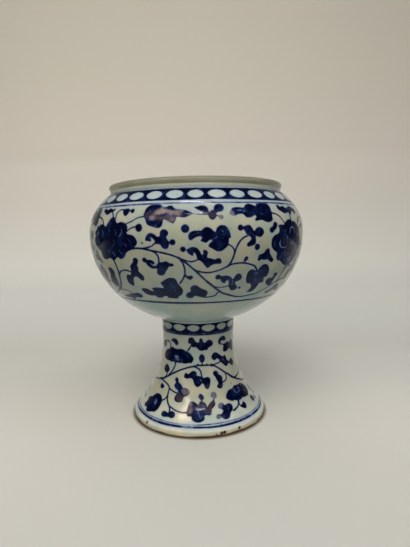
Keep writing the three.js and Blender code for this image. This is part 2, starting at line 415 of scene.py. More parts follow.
    filled((39.4, 52), (40.3, 53.6), (41.9, 54.2), (42.7, 55.8), (44, 56.6), (45.3, 56), (45.6, 54.6),
        (44.9, 53.2), (43.5, 52), (42, 50.7), (40.4, 50.7)),
    filled((33, 37.6), (33.4, 39.2), (35, 39.8), (36.6, 40.2), (37.4, 41.6), (38.8, 42.5), (40.2, 42.3),
        (40.5, 41), (40.9, 39.8), (42, 38.6), (43.2, 37.3), (44.4, 36.3), (44.3, 35), (43, 34.6),
        (41.4, 35.4), (39.8, 36.4), (37.6, 36.1), (35.6, 36.5), (34.2, 35.8), (33, 36.3)),
    filled((48.8, 27), (50.4, 27.8), (52.2, 27.5), (52.8, 26.2), (51.9, 25), (51.6, 23.4), (51.2, 21.4),
        (51.3, 19.9), (50, 18.8), (48.6, 19.3), (46.4, 20), (45, 21.2), (44.1, 22.7), (44.7, 24.1),
        (46.5, 24.7), (48.7, 24.8), (49.3, 25.8)),
    # sprig beside the left peony
    filled((-33.9, 38.8), (-32.4, 38.9), (-31.4, 37.7), (-31.8, 36.2), (-32.7, 34.9), (-32.2, 33.2),
        (-32.7, 31.3), (-31.6, 30.1), (-30.4, 28.6), (-30.3, 26.9), (-31.3, 25.4), (-32.8, 25.5),
        (-34, 26.8), (-35.6, 27.8), (-37.2, 27.2), (-38.4, 25.6), (-39, 23.6), (-39.8, 21.8), (-41.2, 21.3),
        (-42.8, 22.4), (-43.8, 24), (-43.6, 26.2), (-42.9, 28), (-41.3, 29.1), (-40, 28.6), (-38.9, 29.4),
        (-37.7, 31.4), (-37.8, 33.6), (-36.6, 35.3), (-35.2, 36.4), (-34.8, 38)),
]

leftPeony = [  # the ragged peony, with the sprigs over it and the stem that carries it
    filled((-48, 60.9), (-46.4, 60.2), (-45.3, 58.7), (-44, 57.4), (-42, 58), (-40, 57.8), (-38, 57),
        (-36.7, 55.6), (-36.6, 53.8), (-37, 52), (-35.6, 51.2), (-34, 51), (-32.3, 50.2), (-31, 48.5),
        (-30.6, 47), (-31.4, 45.5), (-33, 44.2), (-35, 43), (-37, 42.2), (-38.6, 41), (-39.7, 39.4),
        (-41.4, 38.4), (-43.4, 37.9), (-45, 38.8), (-46.4, 38.6), (-47.8, 37.4), (-49.6, 36.9),
        (-51.2, 37.7), (-52.8, 38.3), (-54.8, 37.5), (-57.4, 37.4), (-59.6, 37.9), (-60.1, 39.4),
        (-60.5, 41), (-61.5, 42.4), (-63.4, 43), (-65, 44.3), (-67, 45.8), (-67.9, 47.6), (-67.5, 49.4),
        (-66, 50.6), (-64, 51), (-62.4, 51.7), (-61.7, 53), (-61.2, 55), (-60.6, 56.6), (-58.6, 57.1),
        (-56.5, 57), (-55, 56.2), (-53.6, 55.9), (-52.7, 57.2), (-51.4, 58.9), (-49.8, 60.3)),
    filled((-60, 65.9), (-58.6, 66.6), (-57.2, 65.9), (-55.6, 65.6), (-53.6, 66.4), (-52, 66),
        (-50.5, 65.5), (-49, 66.1), (-48.2, 65.2), (-49.4, 64.2), (-51, 63.8), (-52.6, 63), (-54.2, 62.4),
        (-56, 62.6), (-58, 63.6), (-59.8, 64.6)),
    stem(0.85, (-50.6, 64.4), (-49.2, 62.6), (-48, 60.6)),
    stem(0.8, (-45.9, 60), (-46, 62.3), (-44.8, 64.2), (-42.8, 65), (-40.6, 64.7)),
    filled((-41.7, 64.6), (-40, 65.3), (-38, 65.5), (-36.8, 64.8), (-36.8, 63.5), (-37.4, 62), (-38.6, 61),
        (-39.9, 61.3), (-40.9, 62.6)),
    dot(-34.7, 63.8, 1.35), stem(0.9, (-37, 64), (-34.7, 63.8)),
    filled((-58.6, 29.5), (-58.2, 31.8), (-56.2, 32.8), (-53.8, 32), (-52.8, 30), (-53.4, 28),
        (-54.2, 26.6), (-53.8, 25), (-54.2, 22.4), (-55.4, 20.4), (-57.4, 19.8), (-59.2, 21.4), (-60.4, 24),
        (-60.6, 26), (-59.2, 27), (-58.6, 28)),
    stem(1.15, (-49.4, 37), (-48.6, 34), (-48.4, 31), (-49.1, 27.6), (-50.7, 24), (-53, 20.7),
        (-55.8, 18.5), (-60.2, 16.7)),
    stem(0.9, (-48.3, 28.8), (-46.4, 30.5), (-43.4, 31.4), (-40.4, 31.4), (-37.8, 30.6)),
    stem(0.8, (-57, 17.6), (-53, 17.7), (-49.6, 17.3), (-46.6, 15.8), (-44.4, 14.6)),
    filled((-37.6, 14.3), (-38.7, 15.8), (-40.8, 16.4), (-43, 16), (-45.4, 15.1), (-48, 14.8),
        (-50.6, 14.4), (-53.6, 13.6), (-57, 12.9), (-59.4, 11.8), (-56.6, 11.3), (-53.4, 11.4),
        (-50.6, 10.7), (-48.2, 10.3), (-46, 11.5), (-43.4, 12.3), (-41, 12.1), (-38.8, 12.8)),
]

leftPeonyLights = [  # where the brush left petals' edges pale
    stem(0.5, (-40.9, 54.6), (-40.3, 53.2), (-41, 51.6), (-42.6, 50.4)),
    stem(0.5, (-47, 48.6), (-46.2, 47.2), (-46.8, 45.8), (-48.4, 44.8)),
    stem(0.4, (-55.4, 46.2), (-57, 45), (-59.4, 44.8)), stem(0.4, (-51, 55), (-50.2, 53.4), (-50.8, 51.6)),
    stem(0.4, (-57.4, 54), (-56.4, 52), (-57.4, 50)), stem(0.4, (-44, 42.8), (-42.4, 42), (-41.8, 40.8)),
    stem(0.4, (-52.6, 43), (-51.6, 41.2), (-52.4, 39.8)),
    stem(0.35, (-36.4, 48.6), (-34.8, 47.4), (-35.2, 46)),
    stem(0.45, (-61, 49.4), (-62.4, 47.8), (-61.8, 46)),
    stem(0.45, (-45.6, 54), (-44.6, 52.4), (-45.2, 51)),
    stem(0.45, (-39.4, 46.4), (-38, 45.6), (-38.2, 44)),
    stem(0.45, (-49.4, 41.4), (-48, 40.8), (-47.8, 39.6)),
]

rightPeony = [  # the rounder peony, with the sprigs over it and under it
    filled((46.2, 54.6), (47.6, 54.9), (49.2, 55.2), (50.8, 54.9), (51.9, 55.7), (53.6, 56.9), (55.5, 57.8),
        (57.6, 58), (59.4, 58.1), (60.8, 57), (62.8, 57.1), (64.8, 56.4), (66.4, 55), (68.2, 53.8),
        (69.8, 52.2), (70.6, 50), (71.6, 48), (73, 45.6), (72.6, 43), (72, 40.4), (70.6, 37.6),
        (68.2, 35.4), (65.4, 33.4), (62.6, 32.2), (60, 31.6), (57.6, 31.8), (55.4, 32.3), (53.6, 33),
        (52, 34.2), (50.2, 35), (48.4, 35.2), (46.9, 36.2), (46.2, 37.8), (46.3, 39.4), (45, 40.5),
        (43, 41.6), (41.6, 43), (41, 45), (41.3, 47.4), (42.6, 49), (44.4, 49.8), (45.9, 50.2),
        (46.9, 51.4), (46.9, 53)),
    filled((48.7, 65.4), (49.6, 66.7), (51, 66.4), (52.2, 65.3), (53.8, 65.9), (55.2, 66.1), (56.8, 65.2),
        (58.6, 64.8), (60.4, 65.6), (62.2, 66.4), (64.2, 66.1), (66.8, 65.3), (69, 64.6), (70, 63.4),
        (69, 61.7), (67.4, 61.2), (65.8, 61.9), (64.6, 63), (62.7, 62.2), (60.7, 61), (58.7, 61.9),
        (56.7, 61.6), (54.6, 61.3), (52.6, 61.7), (51, 62.7), (49.3, 63.5)),
    stem(0.9, (60, 61.8), (59.4, 60), (59.3, 57.2)), stem(0.7, (67.8, 54.6), (70, 58.4), (73, 59.8)),
    stem(0.9, (46.6, 16.6), (50, 18.4), (54, 20.6), (58, 22), (61.6, 22.8), (65.6, 22)),
    stem(0.9, (55.6, 21.4), (56.9, 25), (58, 29), (58.4, 32.4)),
    stem(0.8, (57.9, 28.4), (60, 30.4), (62.8, 31.4), (66, 31)),
    filled((50.2, 13.9), (51.6, 15), (53.4, 15.4), (55.2, 16.6), (57, 18.4), (59.2, 19.4), (61.4, 18.8),
        (63.6, 17), (66.4, 15.4), (67, 14), (64.6, 13.2), (62, 13.8), (59.6, 14.8), (57.2, 14.4), (55, 13),
        (52.6, 12.6)),
]

rightPeonyLights = [  # pale edges of its petals
    stem(0.75, (48.5, 46.7), (47.9, 45.2), (48.2, 43.7), (49.6, 42.7), (51.6, 42.4), (54.2, 42.9)),
    stem(0.95, (57.3, 50.4), (57.4, 52), (58.5, 53.3), (60.2, 53.6), (61.8, 52.5), (62.8, 50.6)),
    stem(0.6, (57.8, 44.4), (59.6, 45), (61, 44.2)), stem(0.6, (45.8, 52.6), (45, 51.8), (45.6, 51.2)),
    stem(0.45, (56.4, 39), (59, 38.2), (61.4, 39)), stem(0.6, (65, 45), (66.4, 43), (66, 41)),
    stem(0.5, (53, 40.6), (54.2, 37.6), (53.8, 35)), stem(0.5, (60, 37), (61.2, 35.4), (60.8, 33.8)),
    stem(0.5, (44, 46.4), (43.4, 44.6), (44.2, 43)), stem(0.5, (54.6, 48.6), (54.2, 46.8), (55, 45.4)),
    stem(0.4, (51, 52.6), (52.6, 51), (52.4, 49)), stem(0.4, (66, 52), (67.4, 50), (67, 48)),
]

scrollLights = [  # pale edges and veins of the buds and leaves between
    stem(0.8, (-22.6, 49), (-21.7, 48), (-21.2, 47)), stem(0.5, (-24.6, 36), (-23, 35.2), (-21.6, 35.4)),
    stem(0.4, (-1.6, 50.4), (0, 51.1), (1.2, 51.5)), stem(0.45, (2.2, 62.2), (3.2, 62.4), (4, 62)),
    stem(0.35, (7.2, 46.2), (8.4, 48), (10, 49.4)), stem(0.35, (12.6, 52.8), (13.4, 50.4), (12.8, 48)),
    stem(0.35, (-16.4, 25), (-13.8, 22.6), (-13, 19)), stem(0.35, (-27, 17.8), (-24, 18), (-21, 17.2)),
    stem(0.35, (35, 29.4), (35.6, 26.6), (35, 23.6)), stem(0.35, (36.6, 65), (35.4, 62.6), (36, 60)),
    stem(0.35, (20, 62.4), (23, 62.8), (26, 62)), stem(0.35, (27.6, 52.8), (28, 50.6), (29.8, 49.6)),
    stem(0.35, (20, 25.6), (20.4, 23.4), (20, 21.4)), stem(0.3, (-24.6, 64.6), (-23, 62), (-23.6, 59)),
]

footScroll = [  # the scroll of the stem and foot, half way round
    # the running stem and its branches
    stem(1, (-39, 27.4), (-35, 28.1), (-31, 29.3), (-27, 31), (-24, 32.6), (-20, 35), (-16, 37),
        (-12, 38.6), (-9, 39.6), (-6, 40.4), (-3, 40.8), (-0.6, 41.4), (2.8, 41.3), (6.4, 41.3), (9.9, 41),
        (12.6, 40.1), (15, 38.7), (17.6, 37), (20.4, 35), (23.6, 32.9), (26.4, 30.8), (29.4, 29),
        (33, 27.4), (36, 26), (39.6, 24.6), (43, 23.8), (47, 24.2), (51, 25.8), (55.3, 27.4)),
    stem(1.3, (-33, 28.7), (-29, 30), (-26, 31.6)), stem(1.35, (22.6, 33.6), (25.4, 31.4), (27.8, 29.8)),
    dot(-0.6, 41.6, 0.8), dot(6.4, 41.4, 0.8), dot(9.9, 41, 1), dot(-3.2, 41, 0.7),
    stem(0.8, (27.6, 30), (31, 29.9), (34, 30.3), (37.4, 31), (41, 32.2), (44, 34)),
    stem(0.9, (-18.4, 42.6), (-19.3, 39.6), (-20.6, 37), (-22.4, 34.8), (-24.8, 32.4)),
    stem(0.95, (-26.2, 35), (-26, 33), (-26.8, 31.2)),
    stem(0.95, (-31, 29.3), (-26.5, 28.5), (-23, 27.6), (-21.2, 26.5), (-20.4, 25), (-20.3, 21.8),
        (-19.6, 19), (-18.4, 16.8), (-17, 15.2), (-16, 13.4), (-15.8, 11.2)),
    stem(0.8, (-20.8, 25.6), (-18.8, 24.9), (-16.6, 24.2), (-14.2, 23.8)),
    stem(0.9, (-20.4, 20.6), (-21.4, 18.6), (-23.2, 17)),
    stem(0.8, (-17.2, 15.4), (-14.6, 14.3), (-12, 13.3), (-9, 12.8), (-6.2, 13)),
    stem(0.9, (-3, 40.5), (0, 39.3), (1.3, 37.6), (1.8, 35.6), (2.2, 33.8)),
    stem(0.85, (16.6, 29.4), (19.4, 30.3), (20.6, 32), (20.6, 34.6)),
    stem(0.9, (-5.2, 54.4), (-6.5, 52.4), (-8.4, 50.4)), stem(0.7, (2.6, 43.4), (2.6, 41.2)),
    stem(0.8, (10.6, 41), (14, 41.5), (17.6, 42.2)),
    stem(0.8, (-25.2, 50.8), (-25.2, 53), (-26.6, 54.3), (-29.6, 54.6), (-33, 54)),
    stem(1, (23.6, 16.4), (22.8, 14), (21, 12.6), (18.2, 11.4)),
    stem(0.9, (24.2, 16), (23.3, 13.6), (24, 11.8)),
    # peony high on the left
    filled((-33.4, 45), (-32.4, 47.1), (-30.4, 48.7), (-28, 49.4), (-26, 50.1), (-24.8, 51.2),
        (-22.8, 51.5), (-20.6, 51), (-18.6, 50.7), (-16.4, 50.9), (-14, 51.2), (-12, 51), (-10.4, 50.2),
        (-8.4, 49.6), (-6.2, 48.6), (-4.8, 47.1), (-3.8, 45.5), (-4.4, 43.8), (-5.6, 42.6), (-7.4, 42.8),
        (-9, 42.3), (-11, 42), (-13, 42.3), (-15, 42), (-17, 42.2), (-19, 41.8), (-21, 42.2), (-23, 41.7),
        (-25.4, 42.2), (-28, 42), (-30, 42.3), (-32, 42.8), (-33.3, 43.7)),
    filled((-31, 54), (-30.7, 52.4), (-32, 50.5), (-34.4, 49.7), (-37, 50.4), (-38.4, 52.1), (-36.2, 53.5),
        (-33.4, 54.4)),
    filled((-24.5, 55.6), (-22.6, 56.8), (-20.4, 57.4), (-18.1, 56.8), (-16.6, 55.3), (-16.8, 53.8),
        (-18.3, 53), (-19.8, 53.4), (-20.9, 54.5), (-22.6, 54.9)),
    filled((-30.6, 36.9), (-29.6, 38.8), (-27.8, 39.5), (-25.8, 39), (-24.4, 37.8), (-23.9, 36.3),
        (-24.8, 35), (-26.4, 34.5), (-28.6, 34.4), (-30.3, 35.4)),
    # sprig under the band, and the bud on the running stem
    filled((-8.1, 56.4), (-7.6, 58.2), (-6.1, 59), (-4.3, 58.9), (-3, 57.8), (-2.2, 56.4), (-0.7, 55.8),
        (0.5, 56), (0.7, 57.4), (1.7, 58.4), (3.2, 58), (3.8, 56.8), (4.3, 55.7), (5.6, 55.6), (6.6, 56.4),
        (8, 57.1), (9.8, 56.9), (11.4, 55.9), (11.9, 54.4), (10.8, 53), (8.9, 52.4), (7.6, 51.6),
        (6.9, 50.4), (5.6, 50.7), (4, 50.4), (2.2, 50.3), (0.3, 51), (-1.4, 52.5), (-2.9, 52.8),
        (-4.4, 52.4), (-5.2, 53.6), (-6, 54.8), (-7.6, 54.9)),
    filled((0.2, 46), (1.2, 47.8), (2.9, 48.3), (4.5, 47.1), (4.9, 45.2), (4.1, 43.6), (2.6, 42.9),
        (1.2, 43.5), (0.4, 44.7)),
    # curl and leaf high on the right
    filled((16.5, 54.8), (17.2, 56.6), (18.9, 57.8), (21, 58.2), (22.9, 58), (24.2, 57), (24.8, 55.8),
        (23.8, 54.9), (22.3, 54.9), (20.6, 55.3), (19.2, 54.9), (19.2, 53.8), (21, 53.2), (22.4, 53),
        (24.2, 53.2), (26, 53.6), (28, 53.4), (30, 53), (31.6, 54), (33.6, 54.4), (35.4, 53.4),
        (36.4, 51.6), (36.6, 49), (35.4, 47.4), (33.4, 46.6), (31.6, 47.4), (30.2, 48.6), (28.4, 48.6),
        (26.6, 48.2), (24.4, 47.6), (22.4, 47.8), (21.2, 48.5), (21.4, 50.2), (21.9, 51.8), (20.6, 52.6),
        (18.8, 52.8), (17.2, 53.5)),
    # curled sprig on the right
    filled((10.1, 46.3), (11.4, 48), (13.2, 48.7), (15.4, 48.2), (17.2, 47), (18.8, 46), (20.6, 45.2),
        (22.2, 45.8), (23.5, 44.8), (24.2, 43), (25.4, 41.6), (27.2, 41.3), (28.6, 42), (30.2, 42.4),
        (31.8, 41), (32.7, 39.4), (31.8, 37.8), (30.2, 37.2), (28.4, 38.2), (26.6, 39.5), (25, 39.4),
        (23.4, 38.5), (21.4, 38.9), (20, 40.2), (18.4, 41.4), (17.2, 42.3), (16.4, 43.6), (15.2, 44.6),
        (13.8, 44), (12.2, 43.7), (10.7, 44.7)),
    # sprig hanging from the running stem
    filled((-10.8, 34.7), (-10.1, 36.2), (-8.9, 36.6), (-7.7, 36), (-6.3, 37), (-4.5, 38), (-2.6, 37.8),
        (-1.3, 36.6), (-1.5, 35.2), (-0.2, 35.1), (1.6, 34.7), (2.9, 33.8), (4.4, 33.9), (5.9, 34.2),
        (7.4, 33.6), (8, 32), (7.6, 30), (6.9, 28), (5.6, 26.8), (4.1, 27.4), (3.3, 29.1), (2.4, 30.3),
        (1.2, 29.6), (-0.1, 28.5), (-1.7, 28.4), (-3, 29.6), (-3.7, 31.4), (-4.5, 32.9), (-5.8, 33.5),
        (-7.4, 33.2), (-9, 33.1), (-10.4, 33.6)),
    filled((10.2, 35.9), (11.3, 37.2), (12.9, 37.3), (14.2, 36.3), (14.8, 34.7), (16.2, 34), (17.2, 32.6),
        (17, 31), (16.4, 29.4), (16.3, 27.6), (15.2, 26.2), (13.6, 26.1), (12.2, 26.9), (11.9, 28),
        (13, 29), (13.1, 30.4), (12.2, 31.8), (11.8, 33.3), (10.8, 34.5)),
    # sprig to the left of it
    filled((-17.5, 31.5), (-16.8, 32.9), (-15.3, 33), (-14.4, 31.8), (-14.3, 30.4), (-12.9, 29.8),
        (-11.6, 28.8), (-10.6, 27.5), (-9, 27.4), (-7.3, 27), (-5.9, 25.6), (-6.2, 24), (-7.6, 22.7),
        (-9.1, 22.1), (-9.5, 20.5), (-9.8, 19.1), (-11.3, 18.4), (-13.1, 18.4), (-14.6, 19.2),
        (-15.2, 20.8), (-14.5, 22.6), (-13.7, 24), (-14, 25.3), (-15.6, 26.2), (-16.9, 27.2), (-17.1, 28.7),
        (-16.2, 30)),
    filled((-29.4, 25.5), (-28.6, 27.1), (-27.2, 26.6), (-25.5, 26.2), (-25.2, 25), (-26.3, 24),
        (-27.7, 23.6), (-29, 24.3)),
    # peony low on the left, and the pair of buds beside it
    filled((-31.6, 18), (-30, 19.6), (-27.8, 20.2), (-25.6, 20), (-24, 18.8), (-22.9, 17.2), (-22.7, 15.4),
        (-22.9, 13), (-23.4, 10.9), (-24.7, 9), (-26.6, 8.4), (-28.3, 7.4), (-30.4, 6.9), (-31.6, 7.6),
        (-32.2, 8.8), (-34.4, 8.5), (-36.1, 9.4), (-35.7, 11), (-35.3, 12.4), (-36, 14), (-34.9, 15.7),
        (-33.1, 16.3)),
    filled((-20, 10.6), (-19, 11.8), (-17.4, 11.6), (-16.1, 11.2), (-15.5, 12.2), (-14.3, 12.8),
        (-12.8, 12.2), (-12.2, 10.6), (-12.6, 9.1), (-13.8, 8.5), (-15.3, 8.8), (-16.7, 8.6), (-18.3, 8.2),
        (-19.6, 8.9)),
    # lily low in the middle
    filled((-5.8, 18.3), (-4.8, 19.6), (-3.2, 19.7), (-1.6, 18.7), (-0.5, 17.9), (0, 19.3), (1.4, 19.7),
        (3, 19), (3.8, 17.6), (4.2, 16.4), (5.3, 18), (6.8, 19.4), (8, 19.7), (8.9, 18.6), (8.7, 17),
        (7.6, 15.8), (6.5, 14.6), (6.1, 13), (5.7, 11.7), (4.6, 11.3), (3.2, 11.6), (2.4, 11), (2.3, 9.3),
        (1.3, 8), (-0.5, 7.3), (-2.4, 7.8), (-3.7, 9.2), (-4.1, 10.8), (-5.6, 10.8), (-6.4, 12), (-6.6, 14),
        (-6.2, 16.2)),
    filled((-0.6, 22.7), (0, 24), (1.2, 24.3), (2.2, 23.3), (2.9, 22), (2.4, 20.7), (1.4, 20.4),
        (0.2, 21.2)),
    stem(0.9, (1.4, 20.8), (1.1, 18.6)),
    filled((7, 23.3), (7.7, 24.6), (9, 24.9), (10.3, 24), (10.6, 22.4), (9.7, 20.9), (8.4, 20.9),
        (7.2, 21.9)),
    stem(0.9, (8.7, 21.2), (7.9, 19)),
    # leaf and bud to the right of it
    filled((10, 15.9), (10.6, 17.3), (12, 18), (13.4, 17.2), (13.9, 16.1), (15.4, 16.3), (17, 16.4),
        (18.3, 15.2), (18.4, 13.4), (17.5, 11.7), (16.1, 10.8), (15.4, 9.5), (14.4, 8), (12.6, 7.4),
        (11.2, 8.3), (10.5, 9.3), (9.4, 8.6), (8.1, 9), (8.2, 10.5), (9.3, 11.4), (10.5, 11.1),
        (11.5, 11.8), (12.2, 12.9), (11.6, 14), (10.4, 14.7)),
    # peony low on the right, with its leaf
    filled((16.2, 20.1), (17.2, 22.1), (19, 23.7), (21.2, 24.2), (22.8, 24.1), (24.2, 25), (26, 25.3),
        (28, 25), (29.6, 24.7), (31.4, 24.9), (33.2, 24.4), (35, 23.2), (37.4, 21.4), (38.6, 19.4),
        (38, 17.4), (36.2, 15.8), (34.4, 15), (32.4, 15.5), (30.2, 15.7), (28.2, 16.2), (26.4, 15.7),
        (24.6, 15.7), (23, 16.2), (21.6, 16.8), (19.6, 16.9), (18, 17.7), (16.7, 18.8)),
    filled((23.3, 12.9), (24.6, 12.9), (25.8, 13.6), (27, 14), (28, 12.9), (27.9, 11.2), (27, 10),
        (25.8, 9.7), (24.6, 10.6), (23.5, 11.8)),
    filled((35, 12.8), (35.4, 10.7), (36.5, 9.4), (38.2, 9.8), (39.6, 11), (38.5, 12.8), (36.8, 14)),
    # what grows between the two halves
    filled((40.4, 45.6), (41, 48), (43, 49.6), (45.6, 50), (48.4, 50.8), (51, 49.8), (52.4, 47.6),
        (51.8, 45), (49.8, 43.2), (47, 43.4), (44.4, 42.4), (42, 43.4)),
    filled((41, 55.2), (42.4, 56.8), (44.4, 57), (45.8, 55.6), (47.6, 55.4), (49.4, 57), (51.4, 56.4),
        (51.6, 54.4), (49.8, 53), (47.4, 53), (45.4, 52.4), (43.2, 53)),
    stem(0.8, (46.4, 43), (45.4, 39.4), (42.6, 35.6), (38.6, 31.4)), stem(0.8, (47.4, 50.4), (47, 53.4)),
    filled((43, 33.6), (44, 35.4), (46, 36.2), (48.2, 35.4), (49.4, 37), (51, 37.2), (51.8, 35.4),
        (50.8, 33.4), (49, 32.2), (47, 31.4), (44.8, 31.8)),
    filled((41.6, 18), (42.8, 20.2), (45, 21), (47, 20), (49, 20.4), (50.8, 19), (50.6, 17), (48.8, 15.4),
        (49.4, 13), (48.2, 10.8), (46, 10.2), (44.2, 11.6), (44.4, 13.8), (42.6, 15.4)),
    dot(41.8, 10.2, 1.5), dot(51.6, 12.4, 1.4), stem(0.8, (46, 20.6), (45.6, 22.6), (44.4, 23.8)),
]

footLights = [  # pale edges and veins of the foot's flowers
    dot(-18.6, 45.5, 0.9), stem(0.5, (-17.2, 44.6), (-16.4, 43.8), (-15.4, 44.2)),
    stem(0.5, (-22.6, 42.8), (-21.4, 43.2)), stem(0.45, (-13.9, 44.6), (-13.2, 43.6), (-13.6, 42.8)),
    stem(0.5, (-20.2, 46), (-18.4, 46.4), (-16, 45.6)),
    stem(0.6, (24.3, 23.6), (23.9, 22.2), (24.7, 21), (26.4, 20.5), (28.2, 20.9), (28.9, 22.4),
        (27.9, 23.5)),
    stem(0.5, (31.2, 23.4), (32, 23.6), (32.6, 23)), stem(0.4, (31, 20.6), (33.4, 19.8), (34, 18)),
    stem(0.4, (-15.3, 25.7), (-14.3, 25.2)), stem(0.5, (0.4, 33), (1.2, 32.6), (1.6, 31.8)),
    stem(0.4, (-0.6, 14.4), (-0.4, 12), (0.4, 9.8)), stem(0.4, (19, 54.3), (21, 54), (22.8, 54)),
    stem(0.35, (-29, 17), (-27, 14.6), (-27.4, 11)), stem(0.35, (20, 43.6), (21.6, 42), (22.6, 40.6)),
    stem(0.35, (45, 47.4), (47, 46.6), (49, 47.4)), stem(0.35, (15, 14.6), (15.6, 13), (14.8, 11.2)),
]

scrollPaintedReflection = [  # painted reflection: the warm window's glow painted onto the blue as a dull brown
    filled((-23.9, 59.9), (-23.2, 61.2), (-21.9, 62.6), (-20.6, 63.9), (-19, 64.5), (-16.7, 64.5),
        (-15.1, 64.2), (-12.9, 63.5), (-10.4, 63.4), (-8.2, 63.5), (-6.3, 62.8), (-7, 60.9), (-8.2, 59.7),
        (-9.9, 60.4), (-11, 61), (-12.3, 61), (-13.2, 61.4), (-14.5, 61.9), (-16.7, 61.5), (-19, 61),
        (-20.3, 59.9), (-20, 58.7), (-21.6, 58.2), (-23.2, 58.5)),
    filled((-15.5, 57.6), (-14.5, 58.5), (-12.9, 58.8), (-10.9, 59.5), (-10, 58.6), (-10.7, 57.1),
        (-11.7, 56), (-12.9, 56.4), (-14.2, 56.9)),
    dot(12.5, 59.2, 1.9), dot(17.4, 61, 1.8),
]

scrollWashed = [  # where the brush was wetter, and the blue is lighter
    filled((-26.4, 60.5), (-25.2, 63.7), (-22.6, 65.6), (-20.4, 65), (-22.2, 63.4), (-23.8, 61.4),
        (-24.6, 58.8), (-23.4, 57.2), (-20.4, 56.9), (-18, 57.6), (-18.4, 55.3), (-19.6, 54.6), (-22.3, 55),
        (-24.9, 56.4), (-25.9, 58.5)),
    dot(8.2, 59.8, 1.9), dot(22.6, 63.4, 1.4),
    filled((50, 40), (54, 41), (58, 39), (62, 40), (67, 42), (66, 37), (61, 33), (56, 33), (52, 35.4),
        (48, 37)),
    filled((-40.6, 24), (-39.4, 27), (-36, 30), (-32.6, 29), (-35, 26.6)), dot(-15, 21, 2.2),
    dot(-24, 17.4, 1.4), filled((32, 28), (36, 31), (39, 29), (37, 24), (33, 23)), dot(20.6, 23.6, 1.6),
    dot(-19, 33, 1.7),
]

footPaintedReflection = [  # painted reflections of the warm window on the foot's blue, in brown
    dot(-8.4, 25.2, 2.7), dot(-5.3, 14.6, 2.5), dot(-5, 17.4, 1.3), dot(8.8, 23, 2.3), dot(10.9, 16.4, 1.9),
    dot(9.2, 9.9, 1.5),
]

footFaintPaintedReflection = [  # and fainter painted reflections, only violet
    filled((-14.4, 24.4), (-11.6, 24.8), (-10.2, 21), (-11, 18.8), (-13.6, 18.8), (-14.9, 21)),
    filled((6, 12.4), (7, 16), (8.9, 18.6), (7.2, 19.4), (5, 17), (4.6, 13.4)), dot(6, 28.6, 1.9),
    dot(14.6, 27.4, 1.5), dot(-5, 19, 1.4), dot(11.6, 9.4, 1.4),
]

footWashed = [  # where the brush was wetter there
    filled((-0.9, 16.4), (0.6, 19), (2.4, 19), (3.8, 16.8), (5, 14), (5.4, 12), (3.4, 11.8), (2.2, 11.4),
        (2, 9.4), (0.8, 8.2), (-1, 7.8), (-2.6, 8.4), (-3.6, 10), (-3.4, 12.6), (-2, 15)),
    dot(-14.2, 10.6, 1.6), dot(-18.4, 10, 1.4), dot(-0.6, 31.6, 2), dot(-27.6, 15, 2.2), dot(26, 20.6, 2.6),
    dot(-19.4, 45.4, 3), dot(-13.6, 44.4, 1.8), dot(2, 53, 1.4), dot(14, 46.4, 1.4),
]

footPaintedHighlight = [  # a painted highlight: the foot's ground whitened where the window's reflection falls
    filled((-8.8, 22.2), (-7, 22.8), (-5.2, 21.7), (-4.4, 18.5), (-4.1, 16.1), (-3.2, 12.5), (-2.8, 10),
        (-3.9, 7.6), (-7.3, 7.4), (-10.4, 8.4), (-11.1, 11), (-9.9, 14), (-9.7, 16), (-8.4, 18.6)),
]

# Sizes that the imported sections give

stemBox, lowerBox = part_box("stem_foot"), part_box("lower_bowl")
mouthBox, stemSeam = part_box("mouth_ring"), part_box("stem_luting")
bellySeam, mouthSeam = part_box("belly_luting"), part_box("mouth_luting")
bellyRadius = lowerBox[1].x / mm
stemTopRadius, stemTop = stemSeam[1].x / mm, stemSeam[0].z / mm
footRadius = stemBox[1].x / mm
lipRadius, rimHeight = mouthBox[1].x / mm, mouthBox[1].z / mm
neckRadius = mouthSeam[1].x / mm
bowlBase = stemSeam[1].z / mm
bellyLow, bellyHigh = bellySeam[0].z / mm, bellySeam[1].z / mm
bellyMiddle = (bellyLow + bellyHigh) / 2
shoulderTop, mouthBase = mouthSeam[0].z / mm, mouthSeam[1].z / mm

print("lower half of the bowl")

lowerForm = {                 # millimetres
    "depth": 57.8,            # half height of the ellipse that the outside follows
    "fullness": 2,            # 2 is an ellipse, and more is squarer
    "wall": 4.0,
    "floor": 5.0,
    "paintedFrom": 80.0,      # below this level the glaze is plain
    "row": 0.56,              # spacing of the painted rows
    "plainRow": 1.6,
    "curveSteps": 160,
    "insideSteps": 13,
    "steps": 800,             # steps of the wheel
}

innerBelly = bellyRadius - lowerForm["wall"]
floorTop = bowlBase + lowerForm["floor"]
lowerWall = quarter(bellyRadius, lowerForm["depth"], lowerForm["fullness"], bellyLow, stemTopRadius, bowlBase,
                    lowerForm["curveSteps"])[::-1]
lowerWall = [(stemTopRadius, stemTop)] + lowerWall + [(bellyRadius, bellyMiddle)]
firstPainted = next(i for i, p in enumerate(lowerWall) if p[1] > lowerForm["paintedFrom"])
lowerOutside = spaced(lowerWall[:firstPainted + 1], lowerForm["plainRow"])
lowerOutside += spaced(lowerWall[firstPainted:], lowerForm["row"])[1:]
lowerInside = [(innerBelly, bellyMiddle)]
lowerInside += quarter(innerBelly, bellyLow - floorTop, lowerForm["fullness"], bellyLow, 0, floorTop,
                       lowerForm["insideSteps"])
lowerBowl = turnedPiece("bowl_lower_half", [(0, stemTop)] + lowerOutside + lowerInside, lowerForm["steps"])

print("upper half of the bowl")

upperForm = {
    "depth": 39.2,            # half height of the shoulder's curve
    "fullness": 2.2,
    "edge": 0.9,              # how far the shoulder's edge stands out from the neck
    "easedOut": 0.35,         # the small slope between that edge and the neck
    "easedUp": 0.3,
    "neckWall": 3.9,
    "row": 0.5,
    "curveSteps": 140,
    "insideSteps": 11,
    "steps": 800,
}

